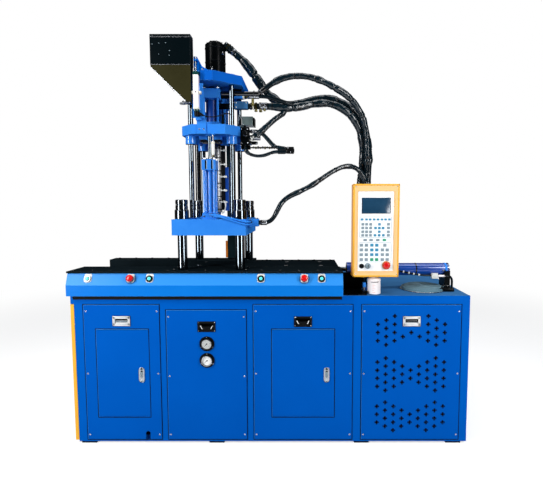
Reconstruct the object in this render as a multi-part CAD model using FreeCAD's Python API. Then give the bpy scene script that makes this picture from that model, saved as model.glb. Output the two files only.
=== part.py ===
"""Vertical injection moulding machine with a sliding table.

Millimetres. +X runs to the machine's right, +Y to its back, +Z up. The origin is the middle of the
machine's footprint on the floor.
"""
import FreeCAD, Part
import math
import os

V = FreeCAD.Vector

# ---------------------------------------------------------------- cabinet
cabinet_length = 2330.0
machine_depth = 1000.0
cabinet_height = 893.0
apron_overhang = 43.0         # the table apron stands this far in front of the cabinet panels
estop_reach = 20.0            # how far the emergency stops stand in front of the apron
foot_height = 12.0
foot_side = 90.0
sheet = 2.0                   # folded sheet covers
panel_proud = 2.0             # panels stand proud of the frame face
rebate = 18.0                 # depth of the step that a panel sits in
rebate_lip = 18.0             # width of the step that a panel rests on
panel_gap = 2.0
inner_frame = 30.0            # width of the end posts
frame_back = 6.0              # frame thickness behind the step
deck_sheet = 6.0
bottom_rail = 10.0            # frame below the covers
side_cover_depth = 20.0
panel_headroom = 51.0         # deck above the covers' upper edges
gauge_panel_headroom = 83.0
rear_panel_count = 3
screw_head_r = 5.0
screw_head = 3.0
screw_inset = 15.0

front_y = -machine_depth / 2
rear_y = machine_depth / 2 + estop_reach
half_length = cabinet_length / 2
cabinet_front = front_y + apron_overhang
frame_front = cabinet_front + panel_proud
step_y = frame_front + rebate
frame_behind = step_y + frame_back
panel_bottom = foot_height + bottom_rail
panel_top = cabinet_height - panel_headroom
gauge_panel_top = cabinet_height - gauge_panel_headroom

# the four front covers, from both ends towards the middle
left_post = 72.0
left_panel_width = 445.0
left_mullion = 37.0
gauge_panel_width = 471.0
middle_mullion = 39.0
right_mullion = 51.0
vented_panel_width = 583.0
right_post = 48.0
left_panel_x = (left_post - half_length, left_post + left_panel_width - half_length)
gauge_panel_x = (left_panel_x[1] + left_mullion, left_panel_x[1] + left_mullion + gauge_panel_width)
vented_panel_x = (half_length - right_post - vented_panel_width, half_length - right_post)
middle_panel_x = (gauge_panel_x[1] + middle_mullion, vented_panel_x[0] - right_mullion)

# doors in the left and middle panels
door_gap = 2.5
door_depth = 14.0
door_sill = 146.0             # cover below a door
door_lintel = 152.0           # cover above it
left_door_margin = (69.0, 65.0)
middle_door_margin = (107.0, 106.0)
hinge_inset = 5.0             # hinge axis from the door's two faces
hinge_pin_r = 3.0
hinge_pin_length = 7.0
running_clearance = 0.05
lock_width = 33.0
lock_height = 90.0
lock_proud = 4.0
lock_from_edge = 47.0         # lock centre from the door's free edge
lock_below_middle = 8.0
lever_width = 17.0
lever_height = 58.0
lever_thick = 8.0
lever_pin_r = 1.6
cable_notch_width = 28.0
cable_notch_height = 54.0
door_bottom = panel_bottom + door_sill
door_top = panel_top - door_lintel
left_door_x = (left_panel_x[0] + left_door_margin[0], left_panel_x[1] - left_door_margin[1])
middle_door_x = (middle_panel_x[0] + middle_door_margin[0], middle_panel_x[1] - middle_door_margin[1])
lock_z = (door_bottom + door_top) / 2 - lock_below_middle

# pressure gauges and pull handles
gauge_offset = 2.5            # gauge line right of its panel's middle
gauge_below_top = 202.0
gauge_pitch = 99.0
gauge_flange_r = 44.0
gauge_flange = 4.0
gauge_case_r = 33.0
gauge_case_proud = 16.0
gauge_case_back = 20.0
needle_length = 25.0
needle_hub_r = 4.0
handle_width = 105.0
handle_height = 62.0
handle_flange = 3.0
handle_cup_depth = 30.0
handle_wall = 9.0
handle_bar_r = 5.5
left_handle_drop = 97.5       # handle centre below its panel's upper edge
gauge_handle_drop = 99.5
middle_handle_drop = 101.5
vented_handle_drop = 99.0
gauge_x = (gauge_panel_x[0] + gauge_panel_x[1]) / 2 + gauge_offset
gauge_upper_z = gauge_panel_top - gauge_below_top
left_handle = ((left_panel_x[0] + left_panel_x[1]) / 2 + 1, panel_top - left_handle_drop)
gauge_handle = (gauge_x - 0.5, gauge_panel_top - gauge_handle_drop)
middle_handle = ((middle_panel_x[0] + middle_panel_x[1]) / 2 - 0.5, panel_top - middle_handle_drop)
vented_handle = ((vented_panel_x[0] + vented_panel_x[1]) / 2, panel_top - vented_handle_drop)

# perforations of the right panel
vent_side = 22.0
vent_waist = 8.0
vent_pitch = 49.0
vent_band_drop = (167.0, 418.5, 663.0)
vent_centre_x = (vented_panel_x[0] + vented_panel_x[1]) / 2 - 0.5
vent_bands = (                # holes in each column, and each column's shift by half a pitch
    ("344111443", "..+-.-+.."),
    ("454323454", "........."),
    ("344323443", "..-----.."),
)

# ---------------------------------------------------------------- table
table_rise = 147.0            # table face above the deck
table_seat = 6.0              # apron above the deck
slope_rise = 68.0             # height of the apron's sloped face
apron_slope_run = 26.0        # how far the upper face leans back
top_plate_thick = 10.0
apron_inset = 2.0             # apron's left end from the cabinet's
apron_reach = 770.0           # apron's right end from the tower
bed_depth = 55.0              # slide's underside below the table face
rear_rail_depth = 102.0
rear_rail_step = 10.0         # higher part of the rear rail above the table face
low_rail_drop = 3.0
bed_inset = (37.0, 6.0)       # bed's ends inside the apron's
channel_front = 85.0          # slide channel in front of the tower's axis and behind it
channel_rear = 170.0
mast_r = 19.0                 # mast on the rear left tie bar
mast_above_seat = 116.0       # its top above the seat plate's underside
rear_post_width = 56.0        # guard post behind the bed, on the tower's line
rear_post_depth = 40.0
rear_post_height = 910.0      # its top above the table face
rear_post_offset = 38.0       # its middle right of the tower's axis
post_platen_gap = 3.0
slide_gap = 0.5
slide_length = 984.0
slide_stroke = 544.0
slide_inset = 8.0             # slide's right end from the apron's
mould_hole_r = 7.0            # tapped holes that hold the mould halves
mould_hole_depth = 28.0
mould_hole_x = 110.0          # half the spacing
mould_hole_y = 90.0

tower_from_right = 1515.0     # tower's axis from the cabinet's right end
tower_from_front = 300.0
tower_x = half_length - tower_from_right
tower_y = front_y + tower_from_front
table_top = cabinet_height + table_rise
apron_x = (apron_inset - half_length, tower_x + apron_reach)
apron_bottom = cabinet_height + table_seat
apron_crease = table_top - top_plate_thick - slope_rise
lip_rear = tower_y - channel_front
bed_top = table_top - bed_depth
rear_rail_y = (tower_y + channel_rear, tower_y + channel_rear + rear_rail_depth)
bed_rear = rear_rail_y[1]
rear_rail_top = table_top + rear_rail_step
low_rail_top = table_top - low_rail_drop
rear_rail_x = (bed_inset[0] - half_length, apron_x[1] - bed_inset[1])
slide_right = apron_x[1] - slide_inset

# push buttons on the apron
button_r = 13.0
bezel_r = 19.5
bezel_proud = 9.0
button_travel = 5.0
left_start_buttons = (124.0, 478.0)      # from the cabinet's left end
left_estop = 370.1
right_start_buttons = (470.0, 122.3)     # from the apron's right end
right_estop = 221.8
start_button_x = (left_start_buttons[0] - half_length, left_start_buttons[1] - half_length,
                  apron_x[1] - right_start_buttons[0], apron_x[1] - right_start_buttons[1])
estop_x = (left_estop - half_length, apron_x[1] - right_estop)
estop_cap_r = 20.0
estop_travel = 5.0

# ---------------------------------------------------------------- tower
bar_half_x = 170.0
bar_half_y = 200.0
bar_r = 27.0
bar_foot_r = 18.0
bar_clearance = 0.05
mould_daylight = 205.0        # table face to platen
platen_half_x = 213.0
platen_reach_front = 261.0    # platen's edges from the tower's axis
platen_reach_rear = 272.0
platen_corner = 42.0
platen_thick = 92.0
clamp_stroke = 200.0
collar_r = 40.5
collar_height = 53.0
locknut_r = 35.0
locknut_height = 30.5
nozzle_bore_r = 78.0
rod_half_x = 121.0
rod_half_y = 150.0
rod_r = 15.0
rod_socket = 60.0             # how deep the guide rods sit in the platen
platen_bottom = table_top + mould_daylight
platen_top = platen_bottom + platen_thick
platen_front = tower_y - platen_reach_front
platen_rear = tower_y + platen_reach_rear

# clamp cylinder under the bed and its crosshead inside the cabinet
ram_r = 60.0
crosshead_drop = 643.0        # deck above the crosshead's underside
crosshead_thick = 80.0
cylinder_shell_r = 105.0
cylinder_flange_half = 130.0
cylinder_flange = 40.0
crosshead_low = cabinet_height - crosshead_drop
clamp_cylinder_low = crosshead_low + crosshead_thick + clamp_stroke + 25

# power pack, from the cabinet's right and rear ends
tank_x = (1085.0, 115.0)
tank_y = (480.0, 100.0)
tank_height = 320.0
pump_motor_r = 115.0

# seat plate, which carries the barrel
seat_stroke = 120.0
seat_rise = 487.0             # seat plate above the platen
seat_thick = 55.0
seat_reach = 232.0            # seat plate's front from the tower's axis
seat_half_x = 170.0
seat_nose_half = 97.0
bush_r = 31.0
bush_height = 48.0
seat_bottom = platen_top + seat_rise
seat_top = seat_bottom + seat_thick
seat_front = tower_y - seat_reach

# top plate, which carries the screw motor
injection_stroke = 150.0
top_rise = 239.0              # top plate above the seat plate
top_thick = 54.0
top_reach = 255.0
top_half_x = 183.0
top_nose_half = 33.0
top_wing_back = 110.0
motor_r = 61.5
motor_height = 240.0
top_bottom = seat_top + top_rise
top_top = top_bottom + top_thick
top_front = tower_y - top_reach

# injection cylinders, one in front of the barrel and one behind
injection_y = 114.0           # from the tower axis
injection_tube_r = 33.0
injection_cap_side = 104.0
injection_cap = 54.0
injection_rod_r = 18.0
injection_gap = 21.0          # rod showing below the top plate
cylinder_tie_r = 7.0

# seat cylinder on the platen
seat_cylinder_reach = 200.0
seat_cylinder_tube_r = 18.0
seat_cylinder_head_side = 80.0
seat_cylinder_head = 59.0
seat_cylinder_foot = 34.0
seat_rod_r = 10.0
seat_rod_shown = 145.0
seat_cylinder_y = tower_y - seat_cylinder_reach

# barrel
barrel_r = 24.0
screw_r = 13.0
heater_r = 29.5
heater_below_seat = 429.0
heater_pitch = 80.0
heater_height = 72.0
heater_count = 5
nozzle_length = 504.0         # seat plate's underside to the nozzle's tip
feed_block_r = 48.0
feed_block_height = 100.0
heater_low = seat_bottom - heater_below_seat
nozzle_tip = seat_bottom - nozzle_length
barrel_top = seat_top + feed_block_height

# hopper
hopper_reach = 280.0          # bin's front from the tower's axis
hopper_width = 221.0
hopper_from_tower = 81.0      # bin's right side from the tower's axis
hopper_height = 468.0         # bin's rim above the seat plate
bin_depth = 154.0
hopper_outlet_rise = 116.0
hopper_right_depth = 55.0
hopper_left_depth = 190.0
hopper_step = 104.0           # where the deep part of the bin begins
hopper_wall = 3.0
chute_r = 19.0
lid_thick = 8.0
lid_pin_r = 2.5
hopper_front = tower_y - hopper_reach
hopper_x = (tower_x - hopper_from_tower - hopper_width, tower_x - hopper_from_tower)
hopper_step_x = hopper_x[0] + hopper_step
hopper_top = seat_top + hopper_height
hopper_waist = hopper_top - bin_depth
hopper_outlet_low = seat_top + hopper_outlet_rise

# position sensor beside the hopper
sensor_from_tower = 55.0
sensor_reach = 268.0
sensor_side = 28.0
sensor_rise = 77.0
sensor_length = 186.0
sensor_cap = 14.0
sensor_plug = 42.0
sensor_rod_r = 3.5
sensor_x = tower_x - sensor_from_tower
sensor_y = tower_y - sensor_reach
sensor_low = seat_top + sensor_rise
sensor_high = sensor_low + sensor_length

# ---------------------------------------------------------------- right deck
slide_cylinder_from_apron = 50.0
slide_cylinder_from_end = 45.0
slide_cylinder_r = 39.0
slide_axis_drop = 29.0        # slide cylinder's axis below the table face
slide_rod_r = 14.0
saddle_half = 52.0
cylinder_bore_y = tower_y     # the slide's cylinder lies on the tower's line
cylinder_axis_z = table_top - slide_axis_drop
slide_cylinder_x = (apron_x[1] + slide_cylinder_from_apron, half_length - slide_cylinder_from_end)
cover_from_end = 221.0
cover_from_front = 245.0
cover_r = 132.0
cover_height = 18.0
cover_x = half_length - cover_from_end
cover_y = front_y + cover_from_front
pot_from_end = 550.0
pot_from_front = 116.0
pot_r = 40.0
pot_height = 96.0
pot_x = half_length - pot_from_end
pot_y = front_y + pot_from_front
post_from_end = 545.0
post_from_front = 219.0
post_r = 26.0
post_height = 437.0
post_x = half_length - post_from_end
post_y = front_y + post_from_front
post_top = cabinet_height + post_height
panel_left_of_post = 139.0
panel_width = 269.0
panel_from_front = 70.0
panel_depth = 78.0
panel_rise = 107.0
panel_height = 540.0
panel_bevel = 9.0
panel_wall = 3.0
keypad_margin = (29.0, 34.0, 35.0, 42.0)      # left, right, below, above
keypad_thick = 2.0
panel_estop_inset = (39.0, 33.0)              # from the keypad's right and lower edges
panel_x = (post_x - panel_left_of_post, post_x - panel_left_of_post + panel_width)
panel_front = front_y + panel_from_front
panel_z = (cabinet_height + panel_rise, cabinet_height + panel_rise + panel_height)
keypad_x = (panel_x[0] + keypad_margin[0], panel_x[1] - keypad_margin[1])
keypad_z = (panel_z[0] + keypad_margin[2], panel_z[1] - keypad_margin[3])
panel_estop = (keypad_x[1] - panel_estop_inset[0], keypad_z[0] + panel_estop_inset[1])

# hoses
hose_r = 20.0
arc_hose_r = 16.0
thin_hose_r = 13.0
riser_r = 14.0
cable_r = 8.0
collar_rise = 14.0
collar_wall = 2.5


# ---------------------------------------------------------------- solids
def box(x0, x1, y0, y1, z0, z1):
    return Part.makeBox(x1 - x0, y1 - y0, z1 - z0, V(x0, y0, z0))


def upright(x, y, z0, z1, r):
    return Part.makeCylinder(r, z1 - z0, V(x, y, z0), V(0, 0, 1))


def along_x(y, z, x0, x1, r):
    return Part.makeCylinder(r, x1 - x0, V(x0, y, z), V(1, 0, 0))


def along_y(x, z, y0, y1, r):
    return Part.makeCylinder(r, y1 - y0, V(x, y0, z), V(0, 1, 0))


def prism(points, direction):
    """A closed outline of 3-D points carried along a direction."""
    wire = Part.makePolygon([V(*p) for p in points] + [V(*points[0])])
    return Part.Face(wire).extrude(V(*direction))


def plan(points, z0, z1):
    return prism([(x, y, z0) for x, y in points], (0, 0, z1 - z0))


def section_x(points, x0, x1):
    return prism([(x0, y, z) for y, z in points], (x1 - x0, 0, 0))


def section_y(points, y0, y1):
    return prism([(x, y0, z) for x, z in points], (0, y1 - y0, 0))


def union(shapes):
    whole = shapes[0]
    if len(shapes) > 1:
        whole = whole.fuse(list(shapes[1:]))
    return whole.removeSplitter()


def group(shapes):
    return Part.makeCompound(list(shapes))


def tube_along(points, r):
    """A round tube on straight runs joined by tangent arcs, as large as the runs allow."""
    points = [V(*p) for p in points]
    edges = []
    radii = []
    start = points[0]
    for before, corner, after in zip(points, points[1:], points[2:]):
        into = (corner - before).normalize()
        out = (after - corner).normalize()
        half_turn = into.getAngle(out) / 2
        reach = 0.45 * min(before.distanceToPoint(corner), corner.distanceToPoint(after))
        radii.append(reach / math.tan(half_turn))
        arc_start = corner - into * reach
        arc_end = corner + out * reach
        centre_way = (out - into).normalize()
        to_centre = reach / math.sin(half_turn)
        middle = corner + centre_way * (to_centre - radii[-1])
        edges.append(Part.LineSegment(start, arc_start).toShape())
        edges.append(Part.Arc(arc_start, middle, arc_end).toShape())
        start = arc_end
    edges.append(Part.LineSegment(start, points[-1]).toShape())
    path = Part.Wire(edges)
    way = (points[1] - points[0]).normalize()
    profile = Part.Wire(Part.makeCircle(r, points[0], way))
    solid = path.makePipeShell([profile], True, True)
    expected = math.pi * r * r * path.Length
    print("tube r %.0f length %.0f, least bend %.0f, volume ratio %.4f"
          % (r, path.Length, min(radii), solid.Volume / expected))
    return solid


# ---------------------------------------------------------------- cabinet pieces
def tray(x0, x1, z0, z1, depth=rebate + panel_proud):
    """A folded cover: a front skin with returned edges."""
    back = cabinet_front + depth
    skin = box(x0, x1, cabinet_front, back, z0, z1)
    hollow = box(x0 + sheet, x1 - sheet, cabinet_front + sheet, back + 1, z0 + sheet, z1 - sheet)
    return skin.cut(hollow)


def cover_opening(span, z0, z1):
    """What the frame leaves open for a cover: the stepped hole behind it."""
    outer = box(span[0] - panel_gap, span[1] + panel_gap, frame_front - 1, step_y, z0 - panel_gap,
                z1 + panel_gap)
    inner = box(span[0] + rebate_lip, span[1] - rebate_lip, step_y - 1, frame_behind + 1,
                z0 + rebate_lip, z1 - rebate_lip)
    return [outer, inner]


def rear_spans():
    """The rear covers share the length between the two end posts evenly."""
    first = -half_length + side_cover_depth + inner_frame
    last = half_length - side_cover_depth - inner_frame
    pitch = (last - first) / rear_panel_count
    return [(first + i * pitch + rebate_lip, first + (i + 1) * pitch - rebate_lip)
            for i in range(rear_panel_count)]


def base_frame():
    left = -half_length + side_cover_depth
    right = half_length
    bottom = foot_height
    depth = rebate + frame_back
    front = box(left, right, frame_front, frame_behind, bottom, cabinet_height)
    front = front.cut(cover_opening(left_panel_x, panel_bottom, panel_top)
                      + cover_opening(gauge_panel_x, panel_bottom, gauge_panel_top)
                      + cover_opening(middle_panel_x, panel_bottom, panel_top)
                      + cover_opening(vented_panel_x, panel_bottom, panel_top))
    back = box(left, right, rear_y - depth, rear_y - sheet, bottom, cabinet_height)
    back = back.cut([box(x0 + rebate_lip, x1 - rebate_lip, rear_y - depth - 1, rear_y + 1,
                         panel_bottom + rebate_lip, panel_top - rebate_lip) for x0, x1 in rear_spans()])
    y0 = frame_behind
    y1 = rear_y - depth
    ends = []
    for x0, x1 in ((left, left + inner_frame), (right - sheet - inner_frame, right - sheet)):
        end = box(x0, x1, y0, y1, bottom, cabinet_height)
        hole = box(x0 - 1, x1 + 1, y0 + rebate_lip, y1 - rebate_lip, panel_bottom + rebate_lip,
                   panel_top - rebate_lip)
        ends.append(end.cut(hole))
    top_left = box(-half_length, left, frame_front, rear_y - sheet, panel_top + panel_gap,
                   cabinet_height)
    floor = box(left, right - sheet, y0, y1, bottom, bottom + deck_sheet)
    deck = box(left, right - sheet, y0, y1, cabinet_height - deck_sheet, cabinet_height)
    deck = deck.cut([
        box(tower_x - platen_half_x, tower_x + platen_half_x, y0 + 1,
            tower_y + bar_half_y + 2 * bar_r, cabinet_height - deck_sheet - 1, cabinet_height + 1),
        box(apron_x[1] + 16, pot_x - pot_r - 8, y0 + 8, cylinder_bore_y - 60,
            cabinet_height - deck_sheet - 1, cabinet_height + 1),
    ])
    drops = [upright(route[-1][0], route[-1][1], 0, table_top, r)
             for route, r in ((motor_run_lower, hose_r), (cylinder_run_lower, hose_r),
                              (arc_run_lower, arc_hose_r), (platen_route, thin_hose_r))]
    deck = deck.cut(drops)
    return union([front, back] + ends + [top_left, floor, deck])


def levelling_feet():
    pads = []
    inset = side_cover_depth + 12
    for x in (-half_length + inset, gauge_x + 3, vented_panel_x[0] - 39, half_length - inset - foot_side):
        for y in (frame_front + 4, rear_y - sheet - 4 - foot_side):
            pads.append(box(x, x + foot_side, y, y + foot_side, 0, foot_height))
    return group(pads)


def side_cover_left():
    """The yellow cover that hooks over the left end; its returned edge shows at the front."""
    x0 = -half_length
    x1 = x0 + side_cover_depth
    shell = box(x0, x1, cabinet_front, rear_y, panel_bottom, panel_top)
    hollow = box(x0 + sheet, x1 + 1, cabinet_front + sheet, rear_y - sheet, panel_bottom + sheet,
                 panel_top - sheet)
    return shell.cut(hollow)


def rear_covers():
    """Plain covers of the back and the right end, lying on the frame."""
    covers = [box(x0, x1, rear_y - sheet, rear_y, panel_bottom, panel_top) for x0, x1 in rear_spans()]
    covers.append(box(half_length - sheet, half_length, frame_behind, rear_y - rebate - frame_back,
                      panel_bottom, panel_top))
    return group(covers)


def door_cut(door_x):
    return box(door_x[0] - door_gap, door_x[1] + door_gap, cabinet_front - 1,
               cabinet_front + rebate + panel_proud + 1, door_bottom - door_gap, door_top + door_gap)


def hinge_pins(door_x, r):
    """The two pivot pins at the top and bottom of a door's left edge."""
    x = door_x[0] + hinge_inset
    y = cabinet_front + hinge_inset
    reach = hinge_pin_length
    return [upright(x, y, door_top - 1, door_top + reach, r),
            upright(x, y, door_bottom - reach, door_bottom + 1, r)]


def door_panel(span, door_x):
    """A cover with a door opening, edged by a folded surround that carries the hinge pins."""
    cover = tray(span[0], span[1], panel_bottom, panel_top)
    edge = sheet + door_gap
    surround = box(door_x[0] - edge, door_x[1] + edge, cabinet_front, cabinet_front + door_depth + 2,
                   door_bottom - edge - 4, door_top + edge + 4)
    whole = union([cover, surround]).cut([door_cut(door_x)])
    return whole.cut(hinge_pins(door_x, hinge_pin_r + running_clearance))


def handle_cut(place):
    x, z = place
    half_w = handle_width / 2 - handle_flange - 2
    half_h = handle_height / 2 - handle_flange - 2
    return box(x - half_w, x + half_w, cabinet_front - 1, cabinet_front + 60, z - half_h, z + half_h)


def front_panel_left():
    notch_x = left_door_x[1] - 5 - cable_notch_width / 2
    r = cable_notch_width / 2
    notch = union([
        box(notch_x - r, notch_x + r, cabinet_front - 1, step_y, panel_bottom - 1,
            panel_bottom + cable_notch_height - r),
        along_y(notch_x, panel_bottom + cable_notch_height - r, cabinet_front - 1, step_y, r)])
    return door_panel(left_panel_x, left_door_x).cut([handle_cut(left_handle), notch])


def front_panel_gauge():
    cover = tray(gauge_panel_x[0], gauge_panel_x[1], panel_bottom, gauge_panel_top)
    holes = [along_y(gauge_x, z, cabinet_front - 1, cabinet_front + sheet + 1, gauge_case_r)
             for z in (gauge_upper_z, gauge_upper_z - gauge_pitch)]
    return cover.cut(holes + [handle_cut(gauge_handle)])


def front_panel_middle():
    return door_panel(middle_panel_x, middle_door_x).cut(handle_cut(middle_handle))


def vent_hole(x, z):
    """One cross-shaped vent: four points about a narrow waist."""
    far = vent_side / 2
    near = vent_waist / 2
    outline = [(x, z + far), (x + near, z + near), (x + far, z), (x + near, z - near),
               (x, z - far), (x - near, z - near), (x - far, z), (x - near, z + near)]
    return section_y(outline, cabinet_front - 1, cabinet_front + sheet + 1)


def vent_centres():
    """Staggered columns of vents in three bands; a column's holes are centred on its band."""
    centres = []
    for drop, (counts, shifts) in zip(vent_band_drop, vent_bands):
        middle = (len(counts) - 1) / 2
        for column, (count, shift) in enumerate(zip(counts, shifts)):
            x = vent_centre_x + (column - middle) * vent_pitch
            halves = int(count) - 1 + (shift == "+") - (shift == "-")
            first = panel_top - drop + vent_pitch * halves / 2
            centres += [(x, first - row * vent_pitch) for row in range(int(count))]
    return centres


def front_panel_vented():
    cover = tray(vented_panel_x[0], vented_panel_x[1], panel_bottom, panel_top)
    vents = [vent_hole(x, z) for x, z in vent_centres()]
    return cover.cut(vents + [handle_cut(vented_handle)])


def cover_screws():
    heads = []
    for span, top in ((left_panel_x, panel_top), (gauge_panel_x, gauge_panel_top),
                      (middle_panel_x, panel_top), (vented_panel_x, panel_top)):
        high = top - 2.7 * screw_inset
        low = panel_bottom + 2.2 * screw_inset
        for x in (span[0] + screw_inset, span[1] - screw_inset):
            for z in (low, (low + high) / 2, high):
                heads.append(along_y(x, z, cabinet_front - screw_head, cabinet_front, screw_head_r))
    return group(heads)


def door(door_x):
    """A folded door with its hinge pins and the housing of its lock."""
    skin = tray(door_x[0], door_x[1], door_bottom, door_top, door_depth)
    x = door_x[1] - lock_from_edge
    r = lock_width / 2
    straight = lock_height / 2 - r
    plate = union([
        box(x - r, x + r, cabinet_front - lock_proud, cabinet_front + door_depth, lock_z - straight,
            lock_z + straight),
        along_y(x, lock_z + straight, cabinet_front - lock_proud, cabinet_front + door_depth, r),
        along_y(x, lock_z - straight, cabinet_front - lock_proud, cabinet_front + door_depth, r)])
    pocket = box(x - lever_width / 2 - 0.5, x + lever_width / 2 + 0.5, cabinet_front - lock_proud - 1,
                 cabinet_front - lock_proud + lever_thick + 3, lock_z - lever_height / 2 - 8,
                 lock_z + lever_height / 2 + 1)
    pin = lever_pin(x)
    return union([skin, plate] + hinge_pins(door_x, hinge_pin_r)).cut([pocket]).fuse(pin)


def lever_pin(x, r=lever_pin_r):
    """The cross pin at the foot of a lock's lever."""
    z = lock_z - lever_height / 2 + 4
    y = cabinet_front - lock_proud + lever_thick / 2
    return along_x(y, z, x - lever_width / 2 - 3, x + lever_width / 2 + 3, r)


def lock_lever(door_x):
    x = door_x[1] - lock_from_edge
    y0 = cabinet_front - lock_proud
    z0 = lock_z - lever_height / 2
    round_r = lever_thick / 2
    blade = box(x - lever_width / 2, x + lever_width / 2, y0, y0 + lever_thick, z0 + round_r,
                lock_z + lever_height / 2)
    knuckle = along_x(y0 + round_r, z0 + round_r, x - lever_width / 2, x + lever_width / 2, round_r)
    return union([blade, knuckle]).cut(lever_pin(x, lever_pin_r + running_clearance))


def handle_cups():
    """Recessed pull handles: a flanged cup with a bar across it."""
    cups = []
    for x, z in (left_handle, gauge_handle, middle_handle, vented_handle):
        w = handle_width / 2
        h = handle_height / 2
        flange = box(x - w, x + w, cabinet_front - handle_flange, cabinet_front, z - h, z + h)
        in_w = w - handle_flange - 2.3
        in_h = h - handle_flange - 2.3
        cup = box(x - in_w, x + in_w, cabinet_front - 0.5, cabinet_front + handle_cup_depth, z - in_h,
                  z + in_h)
        hollow = box(x - w + handle_wall, x + w - handle_wall, cabinet_front - handle_flange - 1,
                     cabinet_front + handle_cup_depth - sheet, z - h + handle_wall, z + h - handle_wall)
        bar = along_x(cabinet_front + 2, z - 4, x - w + handle_wall - 1, x + w - handle_wall + 1,
                      handle_bar_r)
        cups.append(union([flange, cup]).cut(hollow).fuse(bar).removeSplitter())
    return group(cups)


def gauge_centres():
    return [(gauge_x, gauge_upper_z), (gauge_x, gauge_upper_z - gauge_pitch)]


def gauge_cases():
    cases = []
    for x, z in gauge_centres():
        body = union([
            along_y(x, z, cabinet_front - gauge_flange, cabinet_front, gauge_flange_r),
            along_y(x, z, cabinet_front - gauge_case_proud, cabinet_front + gauge_case_back,
                    gauge_case_r - 0.5)])
        dish = along_y(x, z, cabinet_front - gauge_case_proud - 1, cabinet_front - 4, gauge_case_r - 4)
        spindle = along_y(x, z, cabinet_front - 12, cabinet_front - 3, 1.5)
        cases.append(body.cut(dish).fuse(spindle))
    return group(cases)


def needle(z):
    """A gauge's pointer on its spindle; it points down and left at rest."""
    y0 = cabinet_front - 10
    y1 = y0 + 2
    hub = along_y(gauge_x, z, y0, y1, needle_hub_r)
    way = math.radians(225)
    ux, uz = math.cos(way), math.sin(way)
    outline = [(gauge_x - uz * 1.6, z + ux * 1.6), (gauge_x + ux * needle_length, z + uz * needle_length),
               (gauge_x + uz * 1.6, z - ux * 1.6), (gauge_x - ux * 9, z - uz * 9)]
    return union([hub, section_y(outline, y0, y1)]).cut(
        along_y(gauge_x, z, y0 - 1, y1 + 1, 1.5 + running_clearance))


def clamp_cylinder():
    """The clamping cylinder hangs under the bed and pulls the crosshead."""
    half = cylinder_flange_half
    flange = box(tower_x - half, tower_x + half, tower_y - half, tower_y + half,
                 apron_bottom - cylinder_flange, apron_bottom)
    body = upright(tower_x, tower_y, clamp_cylinder_low, apron_bottom - cylinder_flange,
                   cylinder_shell_r)
    bore = upright(tower_x, tower_y, clamp_cylinder_low - 1, apron_bottom - 60, ram_r + bar_clearance)
    return union([flange, body]).cut(bore)


def power_pack():
    """Oil tank with the electric motor and pump on it, behind the right-hand covers."""
    floor = foot_height + deck_sheet
    x0, x1 = half_length - tank_x[0], half_length - tank_x[1]
    y0, y1 = rear_y - tank_y[0], rear_y - tank_y[1]
    lid = floor + tank_height
    tank = box(x0, x1, y0, y1, floor, lid)
    motor_y = (y0 + y1) / 2
    motor_z = lid + pump_motor_r + 15
    motor = along_x(motor_y, motor_z, x0 + 340, x1 - 290, pump_motor_r)
    foot = box(x0 + 370, x1 - 330, motor_y - 100, motor_y + 100, lid, motor_z - 90)
    pump = along_x(motor_y, motor_z, x0 + 220, x0 + 340, pump_motor_r - 55)
    valves = box(x1 - 220, x1 - 90, y0 + 80, y1 - 100, lid, lid + 140)
    return group([tank, union([motor, foot, pump]), valves])


# ---------------------------------------------------------------- table pieces
def bars_xy():
    return [(tower_x + sx * bar_half_x, tower_y + sy * bar_half_y) for sy in (-1, 1) for sx in (-1, 1)]


def apron_slope():
    """Direction up the apron's sloped face, and its outward normal."""
    rise = table_top - top_plate_thick - apron_crease
    length = math.hypot(apron_slope_run, rise)
    return (apron_slope_run / length, rise / length), (-rise / length, apron_slope_run / length)


def table_apron():
    """The folded front apron with its two closed ends."""
    top = table_top - top_plate_thick
    y_top = front_y + apron_slope_run
    outline = [(front_y, apron_bottom), (front_y, apron_crease), (y_top, top), (y_top + 30, top),
               (y_top + 30, top - sheet), (y_top + sheet, top - sheet), (front_y + sheet, apron_crease),
               (front_y + sheet, apron_bottom + sheet), (front_y + 40, apron_bottom + sheet),
               (front_y + 40, apron_bottom)]
    skin = section_x(outline, apron_x[0], apron_x[1])
    end = [(front_y, apron_bottom), (front_y, apron_crease), (y_top, top), (y_top + 30, top),
           (y_top + 30, apron_bottom)]
    ends = [section_x(end, apron_x[0], apron_x[0] + sheet), section_x(end, apron_x[1] - sheet, apron_x[1])]
    (slope_y, slope_z), normal = apron_slope()
    holes = []
    for x in start_button_x + estop_x:
        centre = button_centre(x)
        way = V(0, normal[0], normal[1])
        holes.append(Part.makeCylinder(button_r + 1.5, 12, centre - way * 10, way))
    return union([skin] + ends).cut(holes)


def button_centre(x):
    """Where a button's axis meets the sloped face."""
    top = table_top - top_plate_thick
    half = 0.52
    return V(x, front_y + apron_slope_run * half, apron_crease + (top - apron_crease) * half)


def on_slope(x, start, length, r):
    """A disc or rod square to the apron's sloped face, from start to start + length outwards."""
    _, normal = apron_slope()
    way = V(0, normal[0], normal[1])
    return Part.makeCylinder(r, length, button_centre(x) + way * start, way)


def button_bezels():
    """Collars and sockets of the six push buttons."""
    rings = []
    for x in start_button_x + estop_x:
        collar = on_slope(x, 0, bezel_proud, bezel_r)
        socket = on_slope(x, -26, 26, button_r + 1.5)
        bore = on_slope(x, -16, bezel_proud + 17, button_r - 1)
        rings.append(union([collar, socket]).cut(bore))
    return group(rings)


def start_button(x):
    r = button_r - 1 - running_clearance
    cap = on_slope(x, bezel_proud - 6, 8, r)
    stem = on_slope(x, -16 + button_travel + 1, bezel_proud + 4, 5)
    return union([cap, stem])


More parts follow.
